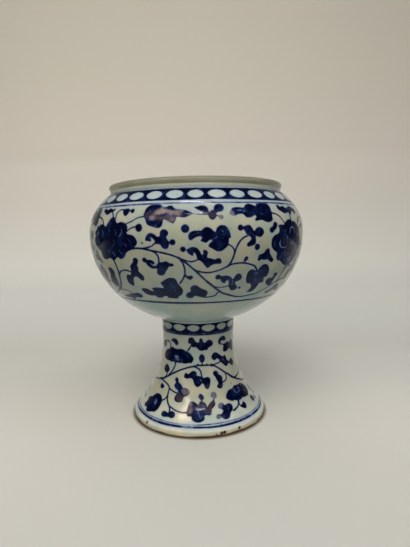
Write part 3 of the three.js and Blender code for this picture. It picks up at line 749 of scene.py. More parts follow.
mouthRadius = neckRadius - upperForm["neckWall"]
fullness = upperForm["fullness"]
upperWall = quarter(bellyRadius, upperForm["depth"], fullness, bellyHigh, neckRadius + upperForm["edge"],
                    shoulderTop, upperForm["curveSteps"])
upperWall = [(bellyRadius, bellyMiddle)] + upperWall
upperWall += [(neckRadius + upperForm["easedOut"], shoulderTop + upperForm["easedUp"]),
              (neckRadius, mouthBase)]
upperOutside = spaced(upperWall, upperForm["row"])
innerShare = (1 - (mouthRadius / innerBelly) ** fullness) ** (1 / fullness)
upperInside = quarter(innerBelly, (shoulderTop - bellyHigh) / innerShare, fullness, bellyHigh, mouthRadius,
                      shoulderTop, upperForm["insideSteps"])[::-1]
upperOutline = upperOutside + [(mouthRadius, mouthBase)] + upperInside + [(innerBelly, bellyMiddle)]
upperBowl = turnedPiece("bowl_upper_half", upperOutline, upperForm["steps"])

print("mouth rim")

rimForm = {
    # the hollow under the lip, out from the neck and up
    "cove": [(0, 0.6), (-0.1, 1.0), (-0.3, 1.4), (-0.42, 1.7), (-0.28, 2.0), (0.1, 2.5), (0.45, 3.1),
             (0.6, 3.8)],
    "outerRound": 1.6,
    "outerSteps": 9,
    "innerRound": 0.8,
    "innerSteps": 6,
    "steps": 256,
}

coveLine = [(neckRadius, mouthBase)] + [(neckRadius + out, mouthBase + up) for out, up in rimForm["cove"]]
rimOutline = [tuple(p) for p in smoothCurve(coveLine)]
rimOutline += corner(lipRadius - rimForm["outerRound"], rimHeight - rimForm["outerRound"],
                     rimForm["outerRound"], 0, math.pi / 2, rimForm["outerSteps"])
rimOutline += corner(mouthRadius + rimForm["innerRound"], rimHeight - rimForm["innerRound"],
                     rimForm["innerRound"], math.pi / 2, math.pi, rimForm["innerSteps"])
rimOutline += [(mouthRadius, mouthBase)]
mouthRim = turnedPiece("mouth_rim", rimOutline, rimForm["steps"])

print("stem and foot")

footForm = {
    "edgeHeight": 3.5,        # upright edge below the flare
    "edgeRound": 1.1,
    "edgeSteps": 9,
    "ringWidth": 3.4,         # flat ring that it stands on
    "waistRadius": 23.8,
    "waistHeight": 52.0,
    "wall": 4.5,
    "inset": 10.6,            # how far the flare draws in before it turns up
    "rise": 10.0,
    "fall": 24.0,
    "row": 0.5,
    "curveSteps": 140,
    "insideSteps": 14,
    "steps": 600,
}


def flare(edgeRadius, edgeHeight, waistRadius, steps):  # the trumpet's curve
    points = [(edgeRadius, edgeHeight),
              (edgeRadius - footForm["inset"], edgeHeight + footForm["rise"]),
              (waistRadius, footForm["waistHeight"] - footForm["fall"]),
              (waistRadius, footForm["waistHeight"])]
    out = []
    for t in np.linspace(0, 1, steps):
        weights = ((1 - t) ** 3, 3 * t * (1 - t) ** 2, 3 * t * t * (1 - t), t ** 3)
        out.append(tuple(sum(w * p[axis] for w, p in zip(weights, points)) for axis in (0, 1)))
    return out


footWall = corner(footRadius - footForm["edgeRound"], footForm["edgeRound"], footForm["edgeRound"],
                  -math.pi / 2, 0, footForm["edgeSteps"])[1:]
footWall += flare(footRadius, footForm["edgeHeight"], footForm["waistRadius"], footForm["curveSteps"])
footWall += [(stemTopRadius, stemTop)]
footOutside = spaced(footWall, footForm["row"])
hollow = flare(footRadius - footForm["edgeRound"] - footForm["ringWidth"], 0,
               footForm["waistRadius"] - footForm["wall"], footForm["insideSteps"])[::-1]
footOutline = [(footRadius - footForm["edgeRound"], 0)] + footOutside
footOutline += [(stemTopRadius - footForm["wall"], stemTop)] + hollow
stemFoot = turnedPiece("stem_and_foot", footOutline, footForm["steps"])

for piece in (lowerBowl, upperBowl, mouthRim, stemFoot):
    print(piece.name, sum(len(face.vertices) - 2 for face in piece.data.polygons), "triangles")

print("painting")

# Bands and lines are given at heights above the table, all other places along the wall

bowlPaint = {
    "zero": 76.0,             # height that the strokes are measured up from
    "radius": 66.0,           # radius that their places across are given at
    "closing": 107.6,         # middle of the shorter gap at each side, where the scroll is drawn again
    "opening": 3.95,          # middle of the gap in front that it is drawn from
    "drawnIn": 0.928,         # and how much narrower it is
    "band": (136.9, 143.6),
    "ovalsBelow": 0.35,       # the ovals' middle under the band's
    "lines": ((135.4, 0.9, 0.42), (82.1, 1.7, 0.05)),    # height, width, and how thin the blue ran
    "lights": 0.22,           # soft edges: of the pale lines, the washed places and the painted reflections
    "washed": 0.8,
    "paintedReflection": 1.1,
    "paintedReflectionFringe": 2.2,          # and of the lighter blue round the painted reflections, their painted fringe
    "washedMost": 0.34,       # how strong each gets
    "paintedReflectionFringeMost": 0.5,
    "specks": ((-24.0, 46.7, 0.75), (31.5, 22.5, 0.35), (-8.0, 33.6, 0.3), (140, 50, 0.6), (221, 31, 0.5)),
}
shoulderOvals = {"count": 34, "turned": 5.3, "halfWide": 4.4, "above": 3.0, "below": 2.85, "fullness": 1.9}


def twice(shapes, reference):  # the pattern goes twice round
    return shapes + shifted(shapes, math.pi * reference)


def aroundBowl(between, peonies):  # what is between the peonies comes again, drawn in, in the gap at the side
    gap = bowlPaint["closing"] - bowlPaint["opening"]
    again = shifted(between, gap, bowlPaint["drawnIn"], bowlPaint["opening"])
    return twice(between + peonies + again, bowlPaint["radius"])


bowlStrokes = aroundBowl(scrollBetween, leftPeony + rightPeony)
bowlLights = aroundBowl(scrollLights, leftPeonyLights + rightPeonyLights)
bowl = unrolled(lowerOutside + upperOutside[1:], lowerForm["steps"], bowlPaint["zero"], bowlPaint["radius"])
cobalt = nearestStroke(bowl, bowlStrokes)
# thin is the distance to the painted reflections of the warm window
wet, thin = nearestStroke(bowl, scrollWashed), nearestStroke(bowl, scrollPaintedReflection)
wash = within(nearestStroke(bowl, bowlLights), bowlPaint["lights"])
wash = np.maximum(wash, bowlPaint["washedMost"] * within(wet, bowlPaint["washed"]))
# the painted reflections fade into the stroke through a lighter blue
paintedReflectionFringeMost = bowlPaint["paintedReflectionFringeMost"]
wash = np.maximum(wash, within(thin, bowlPaint["paintedReflectionFringe"], paintedReflectionFringeMost, paintedReflectionFringeMost))
low, high = (bowl["upTo"](height) for height in bowlPaint["band"])
band = np.abs(bowl["up"][:, None] - (low + high) / 2) - (high - low) / 2
band = band + brush["sway"] * np.sin(9 * bowl["angle"])
ovals = whiteOvals(bowl, shoulderOvals, (low + high) / 2 - bowlPaint["ovalsBelow"])
cobalt = np.minimum(cobalt, np.maximum(band, -ovals))
lineEdge = 0.4                # a line's thin blue reaches this far past it
for height, width, thinned in bowlPaint["lines"]:
    ring = ringLine(bowl, height, width)
    cobalt, wash = np.minimum(cobalt, ring), np.maximum(wash, np.where(ring < lineEdge, thinned, 0))
plainGlaze = brush["beyond"]
bowlFields = {"cobalt": (cobalt, plainGlaze), "wash": (wash, 0.0),
              "paintedReflection": (within(thin, bowlPaint["paintedReflection"]), 0.0),
              "iron": (marks(bowl, bowl["up"], bowlPaint["specks"]), 0.0)}
split = len(lowerOutside)
for piece, outside, rows in ((lowerBowl, lowerOutside, slice(split)),
                             (upperBowl, upperOutside, slice(split - 1, None))):
    setAttributes(piece, outside, bowl["steps"], {k: (g[rows], e) for k, (g, e) in bowlFields.items()})

footPaint = {
    "zero": 2.0,
    "radius": 30.0,
    "band": (56.5, 64.0),
    "ovalsBelow": 2.5,        # the ovals' middle under the band's top
    "bandLine": 0.95,         # a washed line in the band, this far up from its lower edge
    "bandLineSoft": (0.6, 0.6, 0.75),    # its soft edge, most and start
    "bandLineMost": 1.4,
    "lines": ((6.75, 0.6, 0.5), (5.65, 1.4, 0.28)),
    "between": (1.2, 0.5, 0.3),    # half width, soft edge and strength of the blue between the two lines
    "lights": 0.22,
    "washed": 0.8,
    "paintedReflection": 1.3,
    "paintedReflectionFringe": 2.2,
    "washedMost": 0.36,
    "paintedReflectionFringeMost": 0.45,
    "paintedReflectionMost": 0.85,
    "faintReflectionMost": 0.2,
    "paintedHighlight": (3.0, 1.0, 0.15),    # soft edge, most and start of the painted highlight
    "bareTo": 1.5,            # height of the bare clay
    "bareEdge": 0.6,
    "bareWander": ((4, 0.25, 0), (11, 0.2, 1), (23, 0.15, 2)),    # waves round the ring, depth and turn
    "specks": ((44.3, 27.3, 0.6), (25.0, 30.4, 0.3), (-24.0, 22.3, 0.35), (150, 30, 0.5), (260, 18, 0.5)),
    "chips": ((-48.5, 3.4, 1.1), (-31, 1.6, 0.5), (13, 1.7, 0.7), (17, 2.1, 1.2), (19.5, 2.3, 1.3),
              (33, 2.7, 1.2), (57, 1.6, 0.9), (-58, 1.4, 0.7), (-6, 1.0, 0.35), (96, 1.8, 0.9),
              (131, 1.2, 0.7), (170, 2.0, 1.1), (214, 1.5, 0.8), (248, 2.2, 0.9), (275, 1.3, 0.6)),
}
stemOvals = {"count": 16, "turned": 4.4, "halfWide": 4.1, "above": 1.65, "below": 2.4, "fullness": 1.75}

foot = unrolled(footOutside, footForm["steps"], footPaint["zero"], footPaint["radius"])
tall, angle = foot["up"][:, None], foot["angle"]
cobalt = nearestStroke(foot, twice(footScroll, footPaint["radius"]))
# thin is the distance to the painted reflections on the foot's blue; the fainter, violet ones are added to
# them
thin, wet = nearestStroke(foot, footPaintedReflection), nearestStroke(foot, footWashed)
faintReflection = footPaint["faintReflectionMost"] * within(nearestStroke(foot, footFaintPaintedReflection), footPaint["paintedReflection"])
paintedReflection = np.maximum(within(thin, footPaint["paintedReflection"], footPaint["paintedReflectionMost"]), faintReflection)
# a painted highlight on the foot's ground
paintedHighlight = within(nearestStroke(foot, footPaintedHighlight), *footPaint["paintedHighlight"])
low, high = (foot["upTo"](height) for height in footPaint["band"])
band = np.abs(tall - (low + high) / 2) - (high - low) / 2
cobalt = np.minimum(cobalt, np.maximum(band, -whiteOvals(foot, stemOvals, high - footPaint["ovalsBelow"])))
wash = within(nearestStroke(foot, twice(footLights, footPaint["radius"])), footPaint["lights"])
bandLine = within(np.abs(tall - low - footPaint["bandLine"]), *footPaint["bandLineSoft"])
wash = np.maximum(wash, footPaint["bandLineMost"] * bandLine)
wash = np.maximum(wash, footPaint["washedMost"] * within(wet, footPaint["washed"]))
# the painted reflections fade into the stroke through a lighter blue
paintedReflectionFringeMost = footPaint["paintedReflectionFringeMost"]
wash = np.maximum(wash, within(thin, footPaint["paintedReflectionFringe"], paintedReflectionFringeMost, paintedReflectionFringeMost))
for height, width, thinned in footPaint["lines"]:
    ring = ringLine(foot, height, width)
    cobalt, wash = np.minimum(cobalt, ring), np.maximum(wash, np.where(ring < lineEdge, thinned, 0))
halfWide, soft, strength = footPaint["between"]
middle = sum(foot["upTo"](line[0]) for line in footPaint["lines"]) / 2
tint = strength * within(np.abs(tall - middle) - halfWide, soft)
wander = sum(depth * np.sin(waves * angle + turn) for waves, depth, turn in footPaint["bareWander"])
bare = within(foot["height"][:, None] - footPaint["bareTo"] - wander, footPaint["bareEdge"])
footFields = {"cobalt": (cobalt, plainGlaze), "wash": (wash, 0.0), "paintedReflection": (paintedReflection, 0.0), "tint": (tint, 0.0),
              "bare": (bare, 1.0), "chip": (marks(foot, foot["height"], footPaint["chips"]), 0.0),
              "iron": (marks(foot, foot["up"], footPaint["specks"]), 0.0), "paintedHighlight": (paintedHighlight, 0.0)}
setAttributes(stemFoot, footOutside, foot["steps"], footFields)

print("materials")

# Cobalt drawn with a brush on the raw body, under a clear glaze with a little iron: nearly black where the
# brush was full and blue where it ran thin, with soft edges where the glaze let it spread, and a faint blue
# breath round each stroke. Violet brown patches on the blue are a painted reflection of the warm window. The
# glaze is glossy and lies in slight waves.

glaze = {
    # the ground by height in millimetres: greyer low on the bowl, bluer under the lip, warmer at the foot.
    # The steps also carry painted light: lighter over the shoulder, where light from above falls, and at the
    # foot's upright edge, darker at the belly, and a painted shade in the neck under the lip
    "bowlGround": ((64, "#b4c8ca"), (80, "#b0bfbc"), (90, "#abb3a9"), (112, "#aaad9c"), (122, "#bec0ad"),
                   (131, "#c1c4b6"), (138, "#b9c6c8"), (143.2, "#b3c0c2"), (144, "#86949a")),
    "footGround": ((1.6, "#d8ccb0"), (3.2, "#e0dfd1"), (5.0, "#d3dcd9"), (8, "#cfd5cb"), (20, "#c1c1ab"),
                   (45, "#c5cabf"), (64, "#b1bcb6")),
    "paintedHighlight": "#f6ecd4",         # painted highlight on the foot
    "thin": "#fff6ea",          # over the ground where the glaze is thin
    "thick": "#e3ece6",         # and where it lies thick and turns green
    "breath": "#9aa8c8",
    "cobaltFull": "#050c2c",
    "cobaltBlue": "#142552",
    "cobaltThin": "#7484a8",
    # painted reflection of the warm window on the blue
    "paintedReflection": "#7e6e66",
    "iron": "#4a3a22",
    # bare clay, its brown darker than the clay's own as a painted shade along the bottom edge
    "clay": "#6e4f2d",
    "clayDark": "#3c2612",
    "chip": "#3a2a18",
    "roughness": 0.09,
    "bareRoughness": 0.85,
    "ior": 1.5,
    # noise scales per metre: a scale of 100 makes spots of about a centimetre
    "clouds": 95.0,             # thick and thin glaze
    "load": 210.0,              # how full the brush was
    "loadTone": (1.8, -0.82),   # how much bluer that makes the blue: times this, and this much
    "washTone": 0.8,            # and how much a wash does
    "raggedness": 520.0,        # a stroke's edge
    "peppering": 150.0,         # iron specks
    "grit": 900.0,              # bare clay
    "waves": 120.0,             # the surface
    "waveDepth": 0.0008,
    "waveStrength": 0.1,
    # distances from a stroke's edge in millimetres
    "breathReach": (1.2, 0.1),
    "breathMost": 0.38,
    "edgeBlue": (0.26, 0.04),   # how much bluer a stroke is at its edge, and a millimetre inside
    "fade": 0.25,               # half the width over which its edge fades
    "wander": 0.36,             # how far that edge wanders
}


def paintedGlaze(name, atFoot=False):
    # a colour mix takes its factor at 0 and its colours at 6 and 7, and gives its result at 2
    material = bpy.data.materials.new(name)
    material.use_nodes = True
    tree = material.node_tree
    tree.nodes.clear()
    place = addNode(tree, "ShaderNodeTexCoord").outputs["Object"]
    height = addNode(tree, "ShaderNodeSeparateXYZ", None, {0: place}).outputs["Z"]
    layers = ["cobalt", "wash", "paintedReflection", "iron"] + (["paintedHighlight", "tint", "bare", "chip"] if atFoot else [])
    painted = {layer: addNode(tree, "ShaderNodeAttribute", {"attribute_name": layer}).outputs["Fac"]
               for layer in layers}

    # the ground, greener where the glaze is thick
    level = addNode(tree, "ShaderNodeMapRange", {"From Max": rimHeight * mm}, {"Value": height}).outputs[0]
    ground = addNode(tree, "ShaderNodeValToRGB", None, {"Fac": level})
    stops = glaze["footGround" if atFoot else "bowlGround"]
    setStops(ground.color_ramp, [(at / rimHeight, tone) for at, tone in stops])
    cloud = addNode(tree, "ShaderNodeTexNoise", {"Scale": glaze["clouds"], "Detail": 3.0},
                    {"Vector": place}).outputs["Fac"]
    cloud = addNode(tree, "ShaderNodeMapRange", {"From Min": 0.38, "From Max": 0.64},
                    {"Value": cloud}).outputs[0]
    veil = addNode(tree, "ShaderNodeMix", {"data_type": "RGBA", 6: linear(glaze["thin"]),
                                           7: linear(glaze["thick"])}, {0: cloud}).outputs[2]
    color = addNode(tree, "ShaderNodeMix", {"data_type": "RGBA", "blend_type": "MULTIPLY", 0: 1.0},
                    {6: ground.outputs["Color"], 7: veil}).outputs[2]
    # the painted highlight whitens the foot's ground
    if atFoot:
        color = addNode(tree, "ShaderNodeMix", {"data_type": "RGBA", 7: linear(glaze["paintedHighlight"])},
                        {0: painted["paintedHighlight"], 6: color}).outputs[2]

    # the blue that the glaze carried up to a millimetre out of each stroke
    far, near = glaze["breathReach"]
    breath = addNode(tree, "ShaderNodeMapRange", {"From Min": far, "From Max": near,
                                                  "To Max": glaze["breathMost"]},
                     {"Value": painted["cobalt"]}).outputs[0]
    if atFoot:
        breath = addNode(tree, "ShaderNodeMath", {"operation": "ADD", "use_clamp": True},
                         {0: breath, 1: painted["tint"]}).outputs[0]
    color = addNode(tree, "ShaderNodeMix", {"data_type": "RGBA", 7: linear(glaze["breath"])},
                    {0: breath, 6: color}).outputs[2]

    # the blue is bluest along a stroke's edge and where the brush was drier, in patches of a few millimetres
    load = addNode(tree, "ShaderNodeTexNoise", {"Scale": glaze["load"], "Detail": 3.0, "Roughness": 0.55},
                   {"Vector": place}).outputs["Fac"]
    atEdge, inside = glaze["edgeBlue"]
    edge = addNode(tree, "ShaderNodeMapRange", {"From Min": 0.0, "From Max": -0.9, "To Min": atEdge,
                                                "To Max": inside}, {"Value": painted["cobalt"]}).outputs[0]
    strength, start = glaze["loadTone"]
    tone = addNode(tree, "ShaderNodeMath", {"operation": "MULTIPLY_ADD", 1: strength, 2: start},
                   {0: load}).outputs[0]
    tone = addNode(tree, "ShaderNodeMath", {"operation": "ADD", "use_clamp": True},
                   {0: tone, 1: edge}).outputs[0]
    tone = addNode(tree, "ShaderNodeMath", {"operation": "MULTIPLY_ADD", "use_clamp": True,
                                            1: glaze["washTone"]}, {0: painted["wash"], 2: tone}).outputs[0]
    blue = addNode(tree, "ShaderNodeValToRGB", None, {"Fac": tone})
    setStops(blue.color_ramp, ((0.08, glaze["cobaltFull"]), (0.5, glaze["cobaltBlue"]),
                               (1, glaze["cobaltThin"])))
    # patches of painted reflection of the warm window turn the blue violet brown
    uneven = addNode(tree, "ShaderNodeMapRange", {"From Min": 0.36, "From Max": 0.52, "To Min": 0.4},
                     {"Value": load}).outputs[0]
    paintedReflection = addNode(tree, "ShaderNodeMath", {"operation": "MULTIPLY"},
                    {0: painted["paintedReflection"], 1: uneven}).outputs[0]
    blue = addNode(tree, "ShaderNodeMix", {"data_type": "RGBA", 7: linear(glaze["paintedReflection"])},
                   {0: paintedReflection, 6: blue.outputs["Color"]}).outputs[2]

    # a stroke's edge fades over half a millimetre and wanders by a tenth or two
    ragged = addNode(tree, "ShaderNodeTexNoise", {"Scale": glaze["raggedness"], "Detail": 3.0},
                     {"Vector": place}).outputs["Fac"]
    ragged = addNode(tree, "ShaderNodeMath", {"operation": "MULTIPLY_ADD", 1: glaze["wander"],
                                              2: -glaze["wander"] / 2}, {0: ragged}).outputs[0]
    ragged = addNode(tree, "ShaderNodeMath", {"operation": "ADD"},
                     {0: painted["cobalt"], 1: ragged}).outputs[0]
    fade = glaze["fade"]
    cover = addNode(tree, "ShaderNodeMapRange", {"interpolation_type": "SMOOTHSTEP", "From Min": fade,
                                                 "From Max": -fade}, {"Value": ragged}).outputs[0]
    color = addNode(tree, "ShaderNodeMix", {"data_type": "RGBA"}, {0: cover, 6: color, 7: blue}).outputs[2]

    # iron specks: a few that show, and a pepper of ones under half a millimetre
    pepper = addNode(tree, "ShaderNodeTexVoronoi", {"Scale": glaze["peppering"]},
                     {"Vector": place}).outputs["Distance"]
    pepper = addNode(tree, "ShaderNodeMapRange", {"From Min": 0.05, "From Max": 0.03, "To Max": 0.8},
                     {"Value": pepper}).outputs[0]
    speck = addNode(tree, "ShaderNodeMath", {"operation": "MAXIMUM"},
                    {0: pepper, 1: painted["iron"]}).outputs[0]
    color = addNode(tree, "ShaderNodeMix", {"data_type": "RGBA", 7: linear(glaze["iron"])},
                    {0: speck, 6: color}).outputs[2]

    # waves eight millimetres long that a reflection bends in
    wave = addNode(tree, "ShaderNodeTexNoise", {"Scale": glaze["waves"], "Detail": 1.0},
                   {"Vector": place}).outputs["Fac"]
    bump = addNode(tree, "ShaderNodeBump", {"Strength": glaze["waveStrength"],
                                            "Distance": glaze["waveDepth"]}, {"Height": wave})
    links = {"Normal": bump.outputs["Normal"]}

    if atFoot:
        # the ring that stood on the kiln's sand is bare, burnt brown and gritty, and the edge is chipped; the
        # clay's brown is made darker as a painted shade along the bottom edge
        grit = addNode(tree, "ShaderNodeTexNoise", {"Scale": glaze["grit"], "Detail": 4.0},
                       {"Vector": place}).outputs["Fac"]
        clay = addNode(tree, "ShaderNodeMix", {"data_type": "RGBA", 6: linear(glaze["clayDark"]),
                                               7: linear(glaze["clay"])}, {0: grit}).outputs[2]
        color = addNode(tree, "ShaderNodeMix", {"data_type": "RGBA"},
                        {0: painted["bare"], 6: color, 7: clay}).outputs[2]
        color = addNode(tree, "ShaderNodeMix", {"data_type": "RGBA", 7: linear(glaze["chip"])},
                        {0: painted["chip"], 6: color}).outputs[2]
        matt = addNode(tree, "ShaderNodeMath", {"operation": "MAXIMUM"},
                       {0: painted["bare"], 1: painted["chip"]}).outputs[0]
        links["Roughness"] = addNode(tree, "ShaderNodeMapRange", {"To Min": glaze["roughness"],
                                                                  "To Max": glaze["bareRoughness"]},
                                     {"Value": matt}).outputs[0]
    shader = addNode(tree, "ShaderNodeBsdfPrincipled", {"Roughness": glaze["roughness"], "IOR": glaze["ior"]},
                     {"Base Color": color, **links})
    addNode(tree, "ShaderNodeOutputMaterial", None, {"Surface": shader.outputs[0]})
    return material


# The rim was dipped in a thin glaze that fired to a greyed cream, over the clear glaze that gathered below
# it, which is darkened there as a painted shade under the lip. It is smooth and a little less glossy than the
# bowl, and darker over the top, a painted shade.

rimGlaze = {
    "cream": "#a3a18a",
    "creamPale": "#b1af9a",
    # painted shade over the top of the lip
    "paintedShadeOnTop": "#85836e",
    # the clear glaze under the lip, darkened as a painted shade
    "below": "#a9b1a7",
    "patches": 70.0,            # noise scale per metre
    "meets": (145.2, 146.0),    # heights in millimetres over which the two glazes run together
    "paintedShadeSpan": (148.0, 149.3),
    "roughness": 0.16,
}


def dippedRim(name):
    material = bpy.data.materials.new(name)
    material.use_nodes = True
    tree = material.node_tree
    tree.nodes.clear()
    place = addNode(tree, "ShaderNodeTexCoord").outputs["Object"]
    height = addNode(tree, "ShaderNodeSeparateXYZ", None, {0: place}).outputs["Z"]
    patchy = addNode(tree, "ShaderNodeTexNoise", {"Scale": rimGlaze["patches"], "Detail": 3.0},
                     {"Vector": place}).outputs["Fac"]
    patchy = addNode(tree, "ShaderNodeMapRange", {"From Min": 0.35, "From Max": 0.7},
                     {"Value": patchy}).outputs[0]
    cream = addNode(tree, "ShaderNodeMix", {"data_type": "RGBA", 6: linear(rimGlaze["cream"]),
                                            7: linear(rimGlaze["creamPale"])}, {0: patchy}).outputs[2]
    # a painted shade darkens the top of the lip
    low, high = (level * mm for level in rimGlaze["paintedShadeSpan"])
    paintedShadeOnTop = addNode(tree, "ShaderNodeMapRange", {"From Min": low, "From Max": high},
                   {"Value": height}).outputs[0]
    cream = addNode(tree, "ShaderNodeMix", {"data_type": "RGBA", 7: linear(rimGlaze["paintedShadeOnTop"])},
                    {0: paintedShadeOnTop, 6: cream}).outputs[2]
    low, high = (level * mm for level in rimGlaze["meets"])
    dipped = addNode(tree, "ShaderNodeMapRange", {"interpolation_type": "SMOOTHSTEP", "From Min": low,
                                                  "From Max": high}, {"Value": height}).outputs[0]
    color = addNode(tree, "ShaderNodeMix", {"data_type": "RGBA", 6: linear(rimGlaze["below"])},
                    {0: dipped, 7: cream}).outputs[2]
    wave = addNode(tree, "ShaderNodeTexNoise", {"Scale": glaze["waves"], "Detail": 1.0},
                   {"Vector": place}).outputs["Fac"]
    bump = addNode(tree, "ShaderNodeBump", {"Strength": glaze["waveStrength"],
                                            "Distance": glaze["waveDepth"]}, {"Height": wave})
    settings = {"Roughness": rimGlaze["roughness"], "IOR": glaze["ior"]}
    shader = addNode(tree, "ShaderNodeBsdfPrincipled", settings,
                     {"Base Color": color, "Normal": bump.outputs["Normal"]})
    addNode(tree, "ShaderNodeOutputMaterial", None, {"Surface": shader.outputs[0]})
    return material


bowlGlaze = paintedGlaze("underglaze blue porcelain, bowl")
footGlaze = paintedGlaze("underglaze blue porcelain, foot", atFoot=True)
creamGlaze = dippedRim("cream dipped porcelain rim")

for piece, material, nodes, slot in (
    (lowerBowl, bowlGlaze, ("lower_bowl", "belly_luting"), "glazed_porcelain"),
    (upperBowl, bowlGlaze, ("upper_bowl", "mouth_luting"), "glazed_porcelain"),
    (stemFoot, footGlaze, ("stem_foot", "stem_luting"), "glazed_porcelain"),
    (mouthRim, creamGlaze, ("mouth_ring",), "lip_glaze"),
):
    piece.data.materials.clear()
    piece.data.materials.append(material)
    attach(piece, "root")
    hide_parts(*nodes)

print("stage")

# A sweep of pale matt paper: a floor, a bend and a wall, with painted light and shade in its tone

stage = {                      # metres
    # the paper's tone by distance back, and then up, which is painted light and shade: lighter just in front
    # of the foot, darker behind it, brightest where it starts to climb and darker again higher up
    "paper": ((-0.12, "#d1cec6"), (-0.04, "#dad6cd"), (0.01, "#d8d5cc"), (0.06, "#d2d0c8"), (0.15, "#cfcdc5"),
              (0.29, "#dbdbd4"), (0.55, "#ecece6"), (0.77, "#f2efe6"), (1.07, "#ece6da"), (1.28, "#f0e6d9"),
              (1.45, "#e7dece"), (1.65, "#ddd4c5")),
    "from": -0.2,              # span of that tone
    "to": 1.8,
    "sides": (-0.4, 0.5),      # span over which a painted shade darkens it to the right
    "paintedShadeToTheRight": 0.9,
    "paintedContactShadow": (0.0438, 0.0468),    # distances from the axis between which a painted contact shadow, brown, darkens it
    "paintedContactShadowTone": "#5f4a30",
    "paintedContactShadowMost": 0.9,
    "floorBack": 0.55,         # behind the vessel, where the paper starts to bend
    "bend": 0.35,
    "bendSteps": 13,
    "wallHeight": 1.8,
    "halfWide": 2.2,
    "front": 2.2,
    "roughness": 0.9,
    "gloss": 0.1,
}

bpy.ops.object.select_all(action="DESELECT")
bpy.ops.mesh.primitive_plane_add(size=1)
sweep = bpy.context.object
sweep.name = "paper_sweep"
sweepLine = [(-stage["front"], 0.0), (stage["floorBack"], 0.0)]
sweepLine += [(stage["floorBack"] + stage["bend"] * math.sin(a), stage["bend"] * (1 - math.cos(a)))
              for a in np.linspace(0, math.pi / 2, stage["bendSteps"])[1:]]
sweepLine += [(stage["floorBack"] + stage["bend"], stage["wallHeight"])]
corners = [(side * stage["halfWide"], y, z) for y, z in sweepLine for side in (-1, 1)]
faces = [(2 * i, 2 * i + 1, 2 * i + 3, 2 * i + 2) for i in range(len(sweepLine) - 1)]
sweep.data.clear_geometry()
sweep.data.from_pydata(corners, [], faces)
sweep.data.shade_smooth()
sweep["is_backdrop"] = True

# What the glaze mirrors of the room: pale paper behind the vessel, and the photographer's shade in front.
# Each place has the tone of its direction, which runs from shade to pale as it turns to the back.

room = {
    "wall": "#d5d0c6",
    "shade": "#1c2026",
    "behind": "#c3bfb6",
    "turns": (0.38, 1.0),          # how far back it points, from -1 in front to 1 behind
    "tableTurns": (-0.05, 0.8),
}


def roundAbout(tree, place, turns="turns", nearer=None):  # nearer takes the place of the shade's own tone
    ahead = addNode(tree, "ShaderNodeVectorMath", {"operation": "NORMALIZE"}, {0: place}).outputs["Vector"]
    ahead = addNode(tree, "ShaderNodeSeparateXYZ", None, {0: ahead}).outputs["Y"]
    low, high = room[turns]
    turned = addNode(tree, "ShaderNodeMapRange", {"interpolation_type": "SMOOTHSTEP", "From Min": low,
                                                  "From Max": high}, {"Value": ahead}).outputs[0]
    settings = {"data_type": "RGBA", 6: linear(room["shade"]), 7: linear(room["behind"])}
    links = {0: turned, 6: nearer} if nearer else {0: turned}
    return addNode(tree, "ShaderNodeMix", settings, links).outputs[2]


paper = bpy.data.materials.new("pale paper sweep")
paper.use_nodes = True
tree = paper.node_tree
tree.nodes.clear()
place = addNode(tree, "ShaderNodeTexCoord").outputs["Object"]
across, back, height = addNode(tree, "ShaderNodeSeparateXYZ", None, {0: place}).outputs
along = addNode(tree, "ShaderNodeMath", {"operation": "ADD"}, {0: back, 1: height}).outputs[0]
along = addNode(tree, "ShaderNodeMapRange", {"From Min": stage["from"], "From Max": stage["to"]},
                {"Value": along}).outputs[0]
tint = addNode(tree, "ShaderNodeValToRGB", None, {"Fac": along})
span = stage["to"] - stage["from"]
setStops(tint.color_ramp, [((at - stage["from"]) / span, tone) for at, tone in stage["paper"]])
# painted shade: the paper is darker to the right
left, right = stage["sides"]
side = addNode(tree, "ShaderNodeMapRange", {"From Min": left, "From Max": right, "To Min": 1.0,
                                            "To Max": stage["paintedShadeToTheRight"]}, {"Value": across}).outputs[0]
tint = addNode(tree, "ShaderNodeMix", {"data_type": "RGBA", "blend_type": "MULTIPLY", 0: 1.0},
               {6: tint.outputs["Color"], 7: side}).outputs[2]
# a painted contact shadow, brown, round the foot
away = addNode(tree, "ShaderNodeVectorMath", {"operation": "LENGTH"}, {0: place}).outputs["Value"]
low, high = stage["paintedContactShadow"]
near = addNode(tree, "ShaderNodeMapRange", {"interpolation_type": "SMOOTHSTEP", "From Min": high,
                                            "From Max": low, "To Max": stage["paintedContactShadowMost"]},
               {"Value": away}).outputs[0]
tint = addNode(tree, "ShaderNodeMix", {"data_type": "RGBA", 7: linear(stage["paintedContactShadowTone"])},
               {0: near, 6: tint}).outputs[2]
settings = {"Roughness": stage["roughness"], "Specular IOR Level": stage["gloss"]}
plain = addNode(tree, "ShaderNodeBsdfPrincipled", settings, {"Base Color": tint})
mirrored = addNode(tree, "ShaderNodeEmission", None, {"Color": roundAbout(tree, place)})
glossy = addNode(tree, "ShaderNodeLightPath").outputs["Is Glossy Ray"]
shader = addNode(tree, "ShaderNodeMixShader", None, {0: glossy, 1: plain.outputs[0], 2: mirrored.outputs[0]})
addNode(tree, "ShaderNodeOutputMaterial", None, {"Surface": shader.outputs[0]})
sweep.data.materials.append(paper)

print("lights")


def toward(azimuth, elevation):  # degrees from the front to the right, and up
    a, e = math.radians(azimuth), math.radians(elevation)
    return Vector((math.sin(a) * math.cos(e), -math.cos(a) * math.cos(e), math.sin(e)))


# Soft light that the glaze doesn't mirror: a bright ceiling, light high and low in front, and cooler light
# from the right

